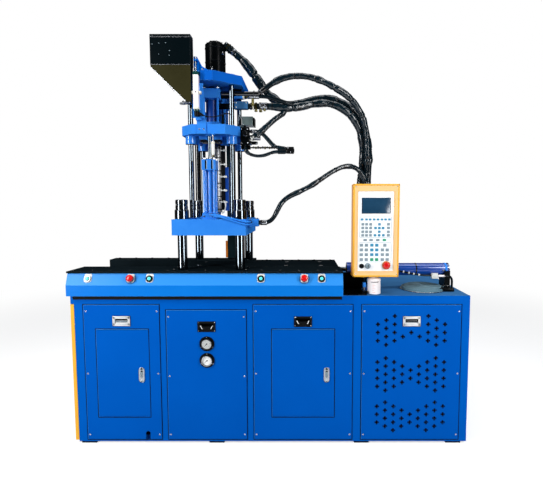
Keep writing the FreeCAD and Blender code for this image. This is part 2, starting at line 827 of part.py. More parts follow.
def apron_estop(x):
    head = on_slope(x, bezel_proud + estop_travel + 1, 13, estop_cap_r)
    stem = on_slope(x, -16 + estop_travel + 1, bezel_proud + estop_travel + 16 - estop_travel,
                    button_r - 1 - running_clearance)
    return union([head, stem])


def table_front_plate():
    """The black plate along the table's front edge, with the front tie bars through it."""
    plate = box(-half_length, apron_x[1], front_y + apron_slope_run - 12, lip_rear,
                table_top - top_plate_thick, table_top)
    holes = [upright(x, y, 0, top_top, bar_r + 1.5) for x, y in bars_xy()]
    return plate.cut(holes)


def rear_post():
    """The tall guard post that stands against the bed's back, clear of the platen above the rail."""
    x0 = tower_x + rear_post_offset - rear_post_width / 2
    x1 = x0 + rear_post_width
    foot = box(x0, x1, bed_rear - 1, bed_rear + rear_post_depth, cabinet_height, low_rail_top)
    post = box(x0, x1, bed_rear + post_platen_gap, bed_rear + rear_post_depth, low_rail_top - 1,
               table_top + rear_post_height)
    strip = box(x0 - 14, x0 + 1, bed_rear + post_platen_gap, bed_rear + post_platen_gap + 12,
                table_top + 12, table_top + 130)
    return [foot, post, strip]


def table_bed():
    """The bed: base plate, front rail under the black plate, and the rear rail."""
    y0 = front_y + apron_slope_run + 31
    x0 = rear_rail_x[0]
    x1 = rear_rail_x[1]
    under = cabinet_height
    base = box(x0, x1, y0, bed_rear, under, bed_top)
    front_rail = box(x0, x1, y0, lip_rear, bed_top, table_top - top_plate_thick)
    rear_high = box(x0, tower_x + platen_half_x, rear_rail_y[0], rear_rail_y[1], bed_top, rear_rail_top)
    rear_low = box(tower_x + platen_half_x, x1, rear_rail_y[0], rear_rail_y[1], bed_top, low_rail_top)
    whole = union([base, front_rail, rear_high, rear_low] + rear_post())
    bars = [upright(x, y, 0, top_top, bar_r + bar_clearance) for x, y in bars_xy()]
    half = cylinder_flange_half + 0.5
    recess = box(tower_x - half, tower_x + half, tower_y - half, tower_y + half, under - 1, apron_bottom)
    return whole.cut(bars + [recess])


def mould_holes(x, y, z0, z1):
    return [upright(x + sx * mould_hole_x, y + sy * mould_hole_y, z0, z1, mould_hole_r)
            for sx in (-1, 1) for sy in (-1, 1)]


def slide_plate():
    """The sliding table with its two mould stations, one stroke apart, and the cylinder's rod."""
    x1 = slide_right
    x0 = x1 - slide_length
    y0 = lip_rear + slide_gap
    y1 = rear_rail_y[0] - slide_gap
    plate = box(x0, x1, y0, y1, bed_top + slide_gap, table_top)
    holes = []
    for x in (tower_x, tower_x + slide_stroke):
        holes += mould_holes(x, (y0 + y1) / 2, table_top - mould_hole_depth, table_top + 1)
    rod = along_x(cylinder_bore_y, cylinder_axis_z, x1 - 2, slide_cylinder_x[0] + slide_stroke + 60,
                  slide_rod_r)
    return union([plate.cut(holes), rod])


def slide_cylinder():
    """The cylinder that moves the slide, on two saddles on the deck."""
    x0, x1 = slide_cylinder_x
    y = cylinder_bore_y
    z = cylinder_axis_z
    tube = along_x(y, z, x0, x1, slide_cylinder_r)
    head = along_x(y, z, x0, x0 + 46, slide_cylinder_r + 5)
    bore = along_x(y, z, x0 - 1, x1 - 30, slide_rod_r + running_clearance)
    saddles = []
    for x in (x0 + 52, x1 - 38):
        saddles.append(box(x, x + 36, y - saddle_half, y + saddle_half, cabinet_height, z - 4))
    port = upright(x1 - 62, y, z - slide_cylinder_r - 12, z - 10, 12)
    return union([tube, head, port] + saddles).cut(bore)


# ---------------------------------------------------------------- clamp unit pieces
def tie_bars():
    """Four bars, turned down at the foot where the crosshead is screwed on; the rear left one
    carries a slim mast that stands beside the seat plate."""
    top = platen_top + collar_height + 2 * locknut_height - 2
    shoulder = crosshead_low + crosshead_thick
    bars = []
    for x, y in bars_xy():
        lengths = [upright(x, y, shoulder, top, bar_r),
                   upright(x, y, crosshead_low - 34, shoulder + 1, bar_foot_r)]
        if x < tower_x and y > tower_y:
            lengths.append(upright(x, y, top - 1, seat_bottom + mast_above_seat, mast_r))
        bars.append(union(lengths))
    return group(bars)


def platen_outline():
    x0 = tower_x - platen_half_x
    x1 = tower_x + platen_half_x
    c = platen_corner
    return [(x0, platen_front), (x1, platen_front), (x1, platen_rear - c), (x1 - c, platen_rear),
            (x0 + c, platen_rear), (x0, platen_rear - c)]


def rods_xy():
    return [(tower_x + sx * rod_half_x, tower_y + sy * rod_half_y) for sy in (-1, 1) for sx in (-1, 1)]


def moving_platen():
    plate = plan(platen_outline(), platen_bottom, platen_top)
    bars = [upright(x, y, 0, top_top, bar_r + bar_clearance) for x, y in bars_xy()]
    sockets = [upright(x, y, platen_top - rod_socket, platen_top + 1, rod_r + bar_clearance)
               for x, y in rods_xy()]
    nozzle = upright(tower_x, tower_y, platen_bottom - 1, platen_top + 1, nozzle_bore_r)
    mould = mould_holes(tower_x, tower_y, platen_bottom - 1, platen_bottom + mould_hole_depth)
    return plate.cut(bars + sockets + [nozzle] + mould)


def tie_bar_nuts():
    nuts = []
    for x, y in bars_xy():
        z = platen_top
        rings = [(collar_height, collar_r), (locknut_height, locknut_r), (locknut_height, locknut_r)]
        for height, r in rings:
            ring = upright(x, y, z, z + height, r)
            nuts.append(ring.cut(upright(x, y, z - 1, z + height + 1, bar_r + bar_clearance)))
            z += height
    return group(nuts)


def lower_crosshead():
    """The crosshead under the clamping cylinder, with its ram."""
    x0 = tower_x - bar_half_x - bar_foot_r - 18
    x1 = tower_x + bar_half_x + bar_foot_r + 18
    y0 = tower_y - bar_half_y - bar_foot_r - 12
    y1 = tower_y + bar_half_y + bar_foot_r + 12
    plate = box(x0, x1, y0, y1, crosshead_low, crosshead_low + crosshead_thick)
    ram = upright(tower_x, tower_y, crosshead_low + crosshead_thick - 1,
                  apron_bottom - 60 - clamp_stroke - 5, ram_r)
    bars = [upright(x, y, 0, table_top, bar_foot_r + bar_clearance) for x, y in bars_xy()]
    nuts = [upright(x, y, crosshead_low - 30, crosshead_low + 1, bar_foot_r + 10) for x, y in bars_xy()]
    return union([plate, ram] + nuts).cut(bars)


def guide_rods():
    return group([upright(x, y, platen_top - rod_socket, top_top - 2, rod_r) for x, y in rods_xy()])


def square_cylinder(x, y, low, high, side, foot, head, tube_r, tie_r):
    """A tie-rod cylinder: square foot and head, round tube and four tie rods between them."""
    h = side / 2
    t = h - tie_r - 5
    foot_block = box(x - h, x + h, y - h, y + h, low, low + foot)
    head_block = box(x - h, x + h, y - h, y + h, high - head, high)
    tube = upright(x, y, low + foot - 1, high - head + 1, tube_r)
    ties = [upright(x + sx * t, y + sy * t, low + foot - 1, high + tie_r, tie_r)
            for sx in (-1, 1) for sy in (-1, 1)]
    return union([foot_block, head_block, tube] + ties)


def seat_cylinder():
    high = seat_bottom - seat_rod_shown
    body = square_cylinder(tower_x, seat_cylinder_y, platen_top, high, seat_cylinder_head_side,
                           seat_cylinder_foot, seat_cylinder_head, seat_cylinder_tube_r, cylinder_tie_r)
    bore = upright(tower_x, seat_cylinder_y, platen_top + 20, high + 20, seat_rod_r + running_clearance)
    return body.cut(bore)


def platen_pipes():
    """Two hard pipes from the seat cylinder's foot, round the platen's front, to a block."""
    x1 = tower_x + platen_half_x
    front = platen_front - 8
    block = box(x1, x1 + 62, platen_front + 70, platen_front + 156, platen_top - 44, platen_top)
    nose = along_x(platen_front + 113, platen_top - 22, x1 + 61, x1 + 84, 11)
    start = seat_cylinder_y - seat_cylinder_head_side / 2
    pipes = []
    for drop in (0, 15):
        z0 = platen_top + 26 - drop / 2
        z1 = platen_top - 14 - drop
        pipes.append(tube_along([(tower_x + 12 + drop, start, z0), (tower_x + 12 + drop, front, z0),
                                 (tower_x + 60, front, z0 - 2), (x1 - 4, front, z1),
                                 (x1 + 20, front + 4, z1), (x1 + 20, platen_front + 71, z1)], 5))
    return group([union([block, nose])] + pipes)


# ---------------------------------------------------------------- seat pieces
def seat_outline(front, half, nose, back):
    """An eight-sided plate about the tower axis: flat nose, sloped corners, flat sides."""
    rear = 2 * tower_y - front
    return [(tower_x - nose, front), (tower_x + nose, front), (tower_x + half, front + back),
            (tower_x + half, rear - back), (tower_x + nose, rear), (tower_x - nose, rear),
            (tower_x - half, rear - back), (tower_x - half, front + back)]


def seat_plate():
    """The plate that carries barrel and cylinders, with a bush for each guide rod."""
    corner = seat_half_x - seat_nose_half
    plate = plan(seat_outline(seat_front, seat_half_x, seat_nose_half, corner), seat_bottom, seat_top)
    bushes = [upright(x, y, seat_bottom - bush_height, seat_bottom + 1, bush_r) for x, y in rods_xy()]
    holes = [upright(x, y, 0, top_top + motor_height, rod_r + running_clearance) for x, y in rods_xy()]
    barrel_hole = upright(tower_x, tower_y, 0, top_top + motor_height, barrel_r + bar_clearance)
    rod_hole = upright(tower_x, seat_cylinder_y, seat_bottom - 1, seat_bottom + 30,
                       seat_rod_r + bar_clearance)
    rod = upright(tower_x, seat_cylinder_y, seat_bottom + 30 - seat_rod_shown - seat_stroke - 40,
                  seat_bottom + 30, seat_rod_r)
    plate = union([plate] + bushes).cut(holes + [barrel_hole, rod_hole])
    return group([plate, rod])


def barrel():
    """Barrel, feed block and nozzle, turned on one axis with the screw's bore through them."""
    tube = upright(tower_x, tower_y, nozzle_tip + 60, barrel_top, barrel_r)
    block = upright(tower_x, tower_y, seat_top, barrel_top, feed_block_r)
    cone = Part.makeCone(8, barrel_r, 60, V(tower_x, tower_y, nozzle_tip), V(0, 0, 1))
    bore = upright(tower_x, tower_y, nozzle_tip + 40, barrel_top + 1, screw_r + running_clearance)
    orifice = upright(tower_x, tower_y, nozzle_tip - 1, nozzle_tip + 41, 2.5)
    return union([tube, block, cone]).cut([bore, orifice, throat()])


def throat():
    """The slanted way from the chute's end into the barrel."""
    before, end = [V(*p) for p in chute_route()[-2:]]
    way = (end - before).normalize()
    seat = Part.makeCylinder(chute_r + bar_clearance, 60, end - way * 60, way)
    return seat.fuse(Part.makeCylinder(chute_r - hopper_wall, 40, end - way, way))


def chute_route():
    """From the bin's outlet, between the front guide rod and the front cylinder, to the feed block."""
    bend_x = tower_x - injection_cap_side / 2 - chute_r - 8
    high = hopper_outlet_low + 42
    low = barrel_top - 34
    return [(hopper_x[1] - chute_r - 5, hopper_front + hopper_right_depth - 20, high),
            (bend_x, tower_y - rod_half_y + 4, high - 40),
            (bend_x + 4, tower_y - injection_y + 58, low + 32),
            (tower_x - 30, tower_y - 16, low)]


def screw():
    """The plasticising screw and its drive shaft up to the motor."""
    tip = nozzle_tip + 42
    core = upright(tower_x, tower_y, tip, top_bottom + 20, screw_r)
    return core


def barrel_heaters():
    """Heater bands with their terminal blocks, the conduit that joins them, and the junction box."""
    pieces = []
    for i in range(heater_count):
        z0 = heater_low - 20 + i * heater_pitch
        band = upright(tower_x, tower_y, z0, z0 + heater_height, heater_r)
        block = box(tower_x + heater_r - 4, tower_x + heater_r + 22, tower_y - 12, tower_y + 12,
                    z0 + heater_height - 34, z0 + heater_height - 10)
        pieces.append(union([band, block]).cut(
            upright(tower_x, tower_y, z0 - 1, z0 + heater_height + 1, barrel_r + bar_clearance)))
    x0 = tower_x + heater_r + 22
    z0 = heater_low - 10
    z1 = z0 + heater_pitch * 3.4
    pieces.append(box(x0, x0 + 22, tower_y - 9, tower_y + 9, z0, z1))
    box_x = tower_x + seat_half_x - 5
    case = box(box_x, box_x + 66, tower_y - 40, tower_y + 40, seat_top + 32, seat_top + 82)
    foot = box(box_x - 22, box_x + 10, tower_y - 20, tower_y + 20, seat_top, seat_top + 36)
    pieces.append(union([case, foot]))
    return group(pieces)


def injection_cylinders():
    """The two injection cylinders, each with its side pipe to a hose fitting."""
    high = top_bottom - injection_gap
    bodies = []
    for side in (-1, 1):
        y = tower_y + side * injection_y
        body = square_cylinder(tower_x, y, seat_top, high, injection_cap_side, 26, injection_cap,
                               injection_tube_r, cylinder_tie_r)
        bore = upright(tower_x, y, seat_top + 12, high + 30, injection_rod_r + running_clearance)
        bodies.append(body.cut(bore))
    y = arc_run_upper[0][1]
    x0 = tower_x + injection_tube_r - 8
    start, onward = [V(*p) for p in arc_run_upper[:2]]
    way = (onward - start).normalize()
    elbow = start - way * 52
    upper = union([along_x(y, elbow.z, x0, elbow.x + 6, arc_hose_r - 2),
                   Part.makeCylinder(arc_hose_r - 3, 52, elbow, way)])
    x, y, z = cylinder_run_upper[0]
    lower = along_x(y, z, tower_x + injection_rod_r + 8, x, hose_r - 3)
    bodies[0] = union([bodies[0], upper, lower])
    return group(bodies + [valve_block()])


def valve_block():
    """The valve block at the seat plate's right side, with its screwed outlet."""
    x0 = tower_x + seat_half_x
    x1, y, _ = riser[0]
    block = box(x0, x1, y - 26, y + 26, low_loop[0][2], seat_top)
    outlet = along_x(y, low_loop[0][2] + 15, x1 - 1, x1 + 40, 10)
    return union([block, outlet])


def hopper_section(wall):
    """The hopper's plan, seen from above: shallow at the right, where the top plate passes."""
    x0, x1 = hopper_x
    y0 = hopper_front
    return [(x0 + wall, y0 + wall), (x1 - wall, y0 + wall),
            (x1 - wall, y0 + hopper_right_depth - wall), (hopper_step_x - wall / 2, y0 + hopper_right_depth - wall),
            (hopper_step_x - 70, y0 + hopper_left_depth - wall), (x0 + wall, y0 + hopper_left_depth - wall)]


def hopper():
    """Bin, funnel with a slope on its left side, and the chute to the barrel's throat."""
    x0, x1 = hopper_x
    y0 = hopper_front
    y1 = y0 + hopper_left_depth

    def funnel(wall):
        side = [(x0 + wall, hopper_waist + 1), (x1 - wall, hopper_waist + 1),
                (x1 - wall, hopper_outlet_low + wall), (x1 - 30 + wall, hopper_outlet_low + wall),
                (x0 + wall, hopper_waist - 12)]
        whole = section_y(side, y0 + wall, y1 - wall)
        return whole.common(plan(hopper_section(wall), hopper_outlet_low + wall, hopper_waist + 1))

    outer = union([plan(hopper_section(0), hopper_waist, hopper_top), funnel(0)])
    inner = union([plan(hopper_section(hopper_wall), hopper_waist, hopper_top + 1), funnel(hopper_wall)])
    pipe = tube_along(chute_route(), chute_r)
    bore = tube_along(chute_route(), chute_r - hopper_wall)
    rear = hopper_front + hopper_left_depth
    ear_y = rear + lid_pin_r + 3
    ear_z = hopper_top + lid_thick / 2
    ears = []
    for x in (x0 + 10, x0 + 75):
        ears.append(box(x, x + 5, rear - 1, ear_y + lid_pin_r + 1, ear_z - 22, hopper_top - 1))
        ears.append(box(x, x + 5, rear + 1, ear_y + lid_pin_r + 1, ear_z - 22, ear_z + lid_pin_r + 1))
    pin = along_x(ear_y, ear_z, x0 + 10, x0 + 80, lid_pin_r)
    return union([outer, pipe] + ears + [pin]).cut([inner, bore])


def hopper_lid():
    """A flat lid that turns on a pin at the back of the bin's wide end."""
    low = hopper_top + 0.3
    plate = plan(hopper_section(-1), low, low + lid_thick)
    x0 = hopper_x[0] + 15.3
    x1 = hopper_x[0] + 74.7
    rear = hopper_front + hopper_left_depth
    y = rear + lid_pin_r + 3
    z = hopper_top + lid_thick / 2
    notches = [box(x, x + 7, rear - 8, rear + 4, low - 1, low + lid_thick + 1) for x in (x0 - 6.3, x1 - 0.7)]
    tongue = box(x0, x1, rear - 1, y, z - 1, low + lid_thick)
    knuckle = along_x(y, z, x0, x1, lid_pin_r + 2)
    bore = along_x(y, z, x0 - 1, x1 + 1, lid_pin_r + running_clearance)
    return union([plate.cut(notches), tongue, knuckle]).cut(bore)


def position_sensor():
    """The linear sensor on its bracket at the seat plate's front."""
    s = sensor_side / 2
    bracket = box(sensor_x - 8, sensor_x + 44, seat_front - 6, seat_front, seat_bottom, sensor_low - 44)
    bracket = union([bracket, box(sensor_x - 8, sensor_x + 20, sensor_y + s - 6, seat_front, sensor_low - 60,
                                  sensor_low - 44)])
    plug = upright(sensor_x, sensor_y, sensor_low - sensor_plug, sensor_low, s - 1)
    body = box(sensor_x - s, sensor_x + s, sensor_y - s, sensor_y + s, sensor_low, sensor_high)
    cap = box(sensor_x - s - 1, sensor_x + s + 1, sensor_y - s - 1, sensor_y + s + 1, sensor_high,
              sensor_high + sensor_cap)
    bore = upright(sensor_x, sensor_y, sensor_low + 20, sensor_high + sensor_cap + 1,
                   sensor_rod_r + running_clearance)
    arm = box(sensor_x - 10, sensor_x + 10, sensor_y + s - 1, seat_front, sensor_low + 6, sensor_low + 26)
    post = box(sensor_x - 10, sensor_x + 10, seat_front - 6, seat_front, sensor_low - 45, sensor_low + 26)
    return union([bracket, plug, body, cap, arm, post]).cut(bore)


# ---------------------------------------------------------------- injection pieces
def top_plate():
    """The plate that carries the screw motor, with the cylinder rods and the sensor's arm."""
    plate = plan(seat_outline(top_front, top_half_x, top_nose_half, top_wing_back), top_bottom, top_top)
    holes = [upright(x, y, 0, top_top + motor_height, rod_r + running_clearance) for x, y in rods_xy()]
    holes.append(upright(tower_x, tower_y, 0, top_top + motor_height, screw_r + 4))
    rods = []
    for side in (-1, 1):
        y = tower_y + side * injection_y
        rods.append(upright(tower_x, y, seat_top + 16, top_bottom + 1, injection_rod_r))
        rods.append(upright(tower_x, y, top_top - 1, top_top + 62, 8))
        rods.append(upright(tower_x, y, top_top - 1, top_top + 16, 19))
    arm_y = sensor_y
    foot = section_y([(sensor_x - 16, top_top - 8), (sensor_x + 78, top_top - 8), (sensor_x + 30, top_top + 22),
                      (sensor_x + 2, top_top + 74), (sensor_x - 16, top_top + 74)], top_front + 4, top_front + 16)
    tongue = box(sensor_x - 10, sensor_x + 10, arm_y - 8, top_front + 5, top_top + 44, top_top + 52)
    pull = upright(sensor_x, arm_y, sensor_low + 24, top_top + 58, sensor_rod_r)
    foot = foot.cut(plate)
    return union([plate.cut(holes)] + rods + [foot, tongue, pull])


def screw_motor():
    """The hydraulic motor: body, domed end and the two hose stubs."""
    z1 = top_top + motor_height
    body = upright(tower_x, tower_y, top_top, z1 - 14, motor_r)
    crown = Part.makeCone(motor_r, motor_r - 20, 14, V(tower_x, tower_y, z1 - 14), V(0, 0, 1))
    flange = upright(tower_x, tower_y, top_top, top_top + 22, motor_r + 12)
    start, onward = [V(*p) for p in motor_route[:2]]
    way = (onward - start).normalize()
    stub = Part.makeCylinder(hose_r + 2, 66, start - way * 66, way)
    shaft = upright(tower_x, tower_y, top_bottom + 20.3, top_top + 4, screw_r)
    return union([body, crown, flange, stub, shaft])


# ---------------------------------------------------------------- right deck pieces
def tank_cover():
    """The round cover of the tank's filling hole, with its latch."""
    disc = upright(cover_x, cover_y, cabinet_height, cabinet_height + cover_height, cover_r)
    rim = upright(cover_x, cover_y, cabinet_height + cover_height - 1, cabinet_height + cover_height + 6,
                  cover_r - 16)
    latch = box(cover_x + 0.6 * cover_r, cover_x + 1.3 * cover_r, cover_y - 0.7 * cover_r,
                cover_y - 0.35 * cover_r, cabinet_height, cabinet_height + cover_height + 4)
    return union([disc, rim, latch])


def lube_pot():
    """The lubricator's pot with its round-shouldered cap."""
    z0 = cabinet_height
    z1 = z0 + pot_height
    pot = upright(pot_x, pot_y, z0, z1 - 12, pot_r)
    shoulder = Part.makeCone(pot_r, pot_r - 14, 12, V(pot_x, pot_y, z1 - 12), V(0, 0, 1))
    return union([pot, shoulder])


def panel_arm():
    """The post that carries the control panel."""
    flange = upright(post_x, post_y, cabinet_height, cabinet_height + 10, post_r + 20)
    tube = upright(post_x, post_y, cabinet_height, post_top, post_r)
    return union([flange, tube])


def panel_case():
    """The control panel's case, with the sleeve that turns on the post."""
    x0, x1 = panel_x
    y0 = panel_front
    y1 = y0 + panel_depth
    z0, z1 = panel_z
    b = panel_bevel
    case = plan([(x0 + b, y0), (x1 - b, y0), (x1, y0 + b), (x1, y1), (x0, y1), (x0, y0 + b)], z0, z1)
    pocket = box(keypad_x[0], keypad_x[1], y0 - 1, y0 + keypad_thick, keypad_z[0], keypad_z[1])
    wall = panel_wall
    hollow = box(x0 + wall, x1 - wall, y0 + b + wall, y1 - wall, z0 + wall, z1 - wall)
    sleeve_low = post_top - 150
    sleeve = upright(post_x, post_y, sleeve_low, post_top + 6, post_r + 10)
    web = box(post_x - 26, post_x + 26, y1 - 1, post_y - post_r + 4, sleeve_low + 10, post_top - 10)
    bore = upright(post_x, post_y, sleeve_low - 1, post_top + 0.3, post_r + running_clearance)
    ex, ez = panel_estop
    socket = along_y(ex, ez, y0 - 1, y0 + 30, button_r - 1)
    boss = along_y(ex, ez, y0 + 2, y0 + 30, button_r + 3)
    shell = case.cut([pocket, hollow]).fuse([boss])
    return union([shell, sleeve, web]).cut([bore, socket])


def panel_keypad():
    """The membrane keypad, with a raised frame about the screen."""
    x0, x1 = keypad_x
    z0, z1 = keypad_z
    skin = box(x0 + 0.3, x1 - 0.3, panel_front, panel_front + keypad_thick, z0 + 0.3, z1 - 0.3)
    ex, ez = panel_estop
    return skin.cut(along_y(ex, ez, panel_front - 2, panel_front + 4, button_r + 0.5))


def panel_estop_button():
    ex, ez = panel_estop
    y0 = panel_front
    head = along_y(ex, ez, y0 - estop_travel - 18, y0 - estop_travel - 3, estop_cap_r)
    stem = along_y(ex, ez, y0 - estop_travel - 4, y0 + 20, button_r - 1 - running_clearance)
    return union([head, stem])


# ---------------------------------------------------------------- hoses
# A route is the middle line of a hose, from its moving end to its fixed one: points about the
# tower's axis, with heights above the table's face.
def route(*points, foot=None):
    line = [(tower_x + x, tower_y + y, table_top + z) for x, y, z in points]
    if foot:
        line.append((tower_x + foot[0], tower_y + foot[1], cabinet_height - deck_sheet))
    return line


motor_route = route((110, 0, 1322), (160, 1, 1282), (210, 6, 1226), (253, 14, 1164), (298, 24, 1102),
                    (348, 32, 1052), (410, 38, 1016), (446, 40, 1016))
motor_run_upper = route((446, 40, 1016), (482, 42, 1016), (546, 42, 1028), (622, 42, 1048),
                        (700, 43, 1054), (778, 46, 1034), (850, 51, 990), (906, 58, 926),
                        (946, 67, 844), (965, 78, 754), (970, 88, 672), (969, 92.5, 633))
motor_run_lower = route((969, 92.5, 633), (968, 97, 594), (963, 106, 516), (957, 113, 400),
                        (953, 119, 250), (952, 122, 20),
                          foot=(952, 122))
cylinder_run_upper = route((290, -80, 974), (342, -80, 974), (400, -74, 970), (462, -55, 970),
                           (530, -32, 984), (605, -14, 1006), (684, -4, 1014), (762, 4, 996),
                           (832, 16, 954), (886, 32, 892), (916, 48, 816), (926, 62, 736),
                           (925, 76, 660), (923.5, 83, 624))
cylinder_run_lower = route((923.5, 83, 624), (922, 90, 588), (915, 101, 512), (907, 110, 400),
                           (903, 118, 250), (904, 122, 20),
                          foot=(904, 122))
arc_run_upper = route((315, -118, 1068), (358, -118, 1099), (410, -116, 1126), (468, -111, 1142),
                      (530, -103, 1147), (596, -93, 1140), (666, -81, 1120), (740, -66, 1086),
                      (816, -48, 1044), (882, -26, 982), (924, -4, 900), (944, 14, 816),
                      (950, 28, 730), (950, 41, 658), (948, 47.5, 624))
arc_run_lower = route((948, 47.5, 624), (946, 54, 590), (940, 64, 512), (934, 70, 400), (930, 72, 250),
                      (929, 72, 20),
                          foot=(929, 72))
platen_route = route((297, -148, 275), (328, -148, 275), (360, -145, 296), (384, -141, 340),
                     (412, -133, 396), (458, -122, 434), (524, -109, 462), (590, -92, 496),
                     (660, -72, 544), (728, -50, 590), (790, -30, 620), (850, -8, 624), (898, 10, 600),
                     (932, 20, 550), (952, 24, 480), (974, 32, 370), (990, 50, 250), (996, 66, 130),
                     (996, 70, -10),
                          foot=(996, 70))
box_loop = route((220, -118, 818), (244, -118, 818), (272, -117, 820), (300, -115, 804),
                 (326, -113, 778), (350, -111, 748), (376, -109, 728), (410, -108, 720),
                 (446, -108, 718))
low_loop = route((195, -118, 735), (195, -118, 712), (210, -118, 691), (238, -118, 677),
                 (276, -117, 672), (314, -115, 678), (346, -113, 692), (378, -111, 700),
                 (412, -110, 699), (446, -110, 698))
riser = route((220, -118, 782), (246, -118, 782), (276, -115, 802), (308, -109, 834), (342, -101, 868),
              (374, -90, 898), (402, -77, 920), (422, -68, 934), (431, -64.5, 949.5))


def seat_hoses():
    """The riser to the bundle, and two cables looped to a connector."""
    x, y, z = box_loop[-1]
    tail = box(x, x + 30, y - 20, y + 18, z - 32, z + 12)
    return group([tube_along(riser, riser_r), union([tube_along(box_loop, cable_r), tail]),
                  tube_along(low_loop, cable_r)])


def upper_hoses():
    return group([tube_along(motor_run_upper, hose_r), tube_along(cylinder_run_upper, hose_r),
                  tube_along(arc_run_upper, arc_hose_r)])


def lower_hoses():
    return group([tube_along(motor_run_lower, hose_r), tube_along(cylinder_run_lower, hose_r),
                  tube_along(arc_run_lower, arc_hose_r)])


def hose_collars():
    """Rubber collars where the hoses pass through the deck."""
    rings = []
    for route, r in ((motor_run_lower, hose_r), (cylinder_run_lower, hose_r),
                     (arc_run_lower, arc_hose_r), (platen_route, thin_hose_r)):
        x, y, _ = route[-1]
        ring = upright(x, y, cabinet_height, cabinet_height + collar_rise, r + collar_wall)
        rings.append(ring.cut(upright(x, y, cabinet_height - 1, cabinet_height + collar_rise + 1, r)))
    return group(rings)


# ---------------------------------------------------------------- nodes
def build():
    nodes = {
        "base_frame": base_frame(),
        "levelling_feet": levelling_feet(),
        "side_cover_left": side_cover_left(),
        "rear_covers": rear_covers(),
        "front_panel_left": front_panel_left(),
        "front_panel_gauge": front_panel_gauge(),
        "front_panel_middle": front_panel_middle(),
        "front_panel_vented": front_panel_vented(),
        "cover_screws": cover_screws(),
        "door_left": door(left_door_x),
        "door_middle": door(middle_door_x),
        "lock_lever_left": lock_lever(left_door_x),
        "lock_lever_middle": lock_lever(middle_door_x),
        "handle_cups": handle_cups(),
        "gauge_cases": gauge_cases(),
        "needle_upper": needle(gauge_upper_z),
        "needle_lower": needle(gauge_upper_z - gauge_pitch),
        "clamp_cylinder": clamp_cylinder(),
        "power_pack": power_pack(),
        "table_apron": table_apron(),
        "table_front_plate": table_front_plate(),
        "table_bed": table_bed(),
        "button_bezels": button_bezels(),
        "estop_left": apron_estop(estop_x[0]),
        "estop_right": apron_estop(estop_x[1]),
        "slide_plate": slide_plate(),
        "slide_cylinder": slide_cylinder(),
        "tie_bars": tie_bars(),
        "moving_platen": moving_platen(),
        "tie_bar_nuts": tie_bar_nuts(),
        "lower_crosshead": lower_crosshead(),
        "guide_rods": guide_rods(),
        "seat_cylinder": seat_cylinder(),
        "platen_pipes": platen_pipes(),
        "seat_plate": seat_plate(),
        "barrel": barrel(),
        "barrel_heaters": barrel_heaters(),
        "injection_cylinders": injection_cylinders(),
        "hopper": hopper(),
        "hopper_lid": hopper_lid(),
        "position_sensor": position_sensor(),
        "top_plate": top_plate(),
        "screw_motor": screw_motor(),
        "screw": screw(),
        "tank_cover": tank_cover(),
        "lube_pot": lube_pot(),
        "panel_arm": panel_arm(),
        "panel_case": panel_case(),
        "panel_keypad": panel_keypad(),
        "panel_estop": panel_estop_button(),
        "hose_collars": hose_collars(),
        "hoses_upper": upper_hoses(),
        "hoses_lower": lower_hoses(),
        "hose_motor": tube_along(motor_route, hose_r),
        "hose_platen": tube_along(platen_route, thin_hose_r),
        "seat_hoses": seat_hoses(),
    }
    for number, x in enumerate(start_button_x, 1):
        nodes["start_button_%d" % number] = start_button(x)
    return nodes


os.makedirs("parts", exist_ok=True)
for name, shape in build().items():
    print("%-20s solids %d valid %s" % (name, len(shape.Solids), shape.isValid()))
    shape.exportStep("parts/%s.step" % name)
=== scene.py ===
import math

import bpy
import numpy as np
from mathutils import Matrix


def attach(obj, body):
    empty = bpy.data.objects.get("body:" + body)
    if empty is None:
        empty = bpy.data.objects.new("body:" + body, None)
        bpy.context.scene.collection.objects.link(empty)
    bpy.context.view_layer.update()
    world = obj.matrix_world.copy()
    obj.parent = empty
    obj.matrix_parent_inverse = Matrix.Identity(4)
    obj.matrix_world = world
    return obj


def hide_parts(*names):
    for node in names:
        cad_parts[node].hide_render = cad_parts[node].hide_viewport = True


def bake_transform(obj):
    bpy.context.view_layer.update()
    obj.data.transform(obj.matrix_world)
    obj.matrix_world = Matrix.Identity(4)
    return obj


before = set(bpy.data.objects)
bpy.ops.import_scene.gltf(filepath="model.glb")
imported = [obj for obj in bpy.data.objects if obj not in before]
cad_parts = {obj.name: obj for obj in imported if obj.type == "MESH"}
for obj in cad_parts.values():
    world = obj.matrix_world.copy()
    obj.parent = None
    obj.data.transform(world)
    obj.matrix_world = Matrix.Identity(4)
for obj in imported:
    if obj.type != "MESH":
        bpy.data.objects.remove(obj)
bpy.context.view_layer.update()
front, back, right, up, down = (0, -1, 0), (0, 1, 0), (1, 0, 0), (0, 0, 1), (0, 0, -1)


def linear(colour):
    # sRGB 0..255 to linear light.
    return tuple((c / 255 / 12.92) if c < 11 else ((c / 255 + 0.055) / 1.055) ** 2.4 for c in colour)


def wired(tree, kind, output, sockets=(), **settings):
    # A new shader node: each socket takes a value or another node's output; gives one output back.
    made = tree.nodes.new("ShaderNode" + kind)
    for name, value in settings.items():
        setattr(made, name, value)
    for name, value in dict(sockets).items():
        if isinstance(value, bpy.types.NodeSocket):
            tree.links.new(value, made.inputs[name])
        else:
            made.inputs[name].default_value = value
    return made.outputs[output]


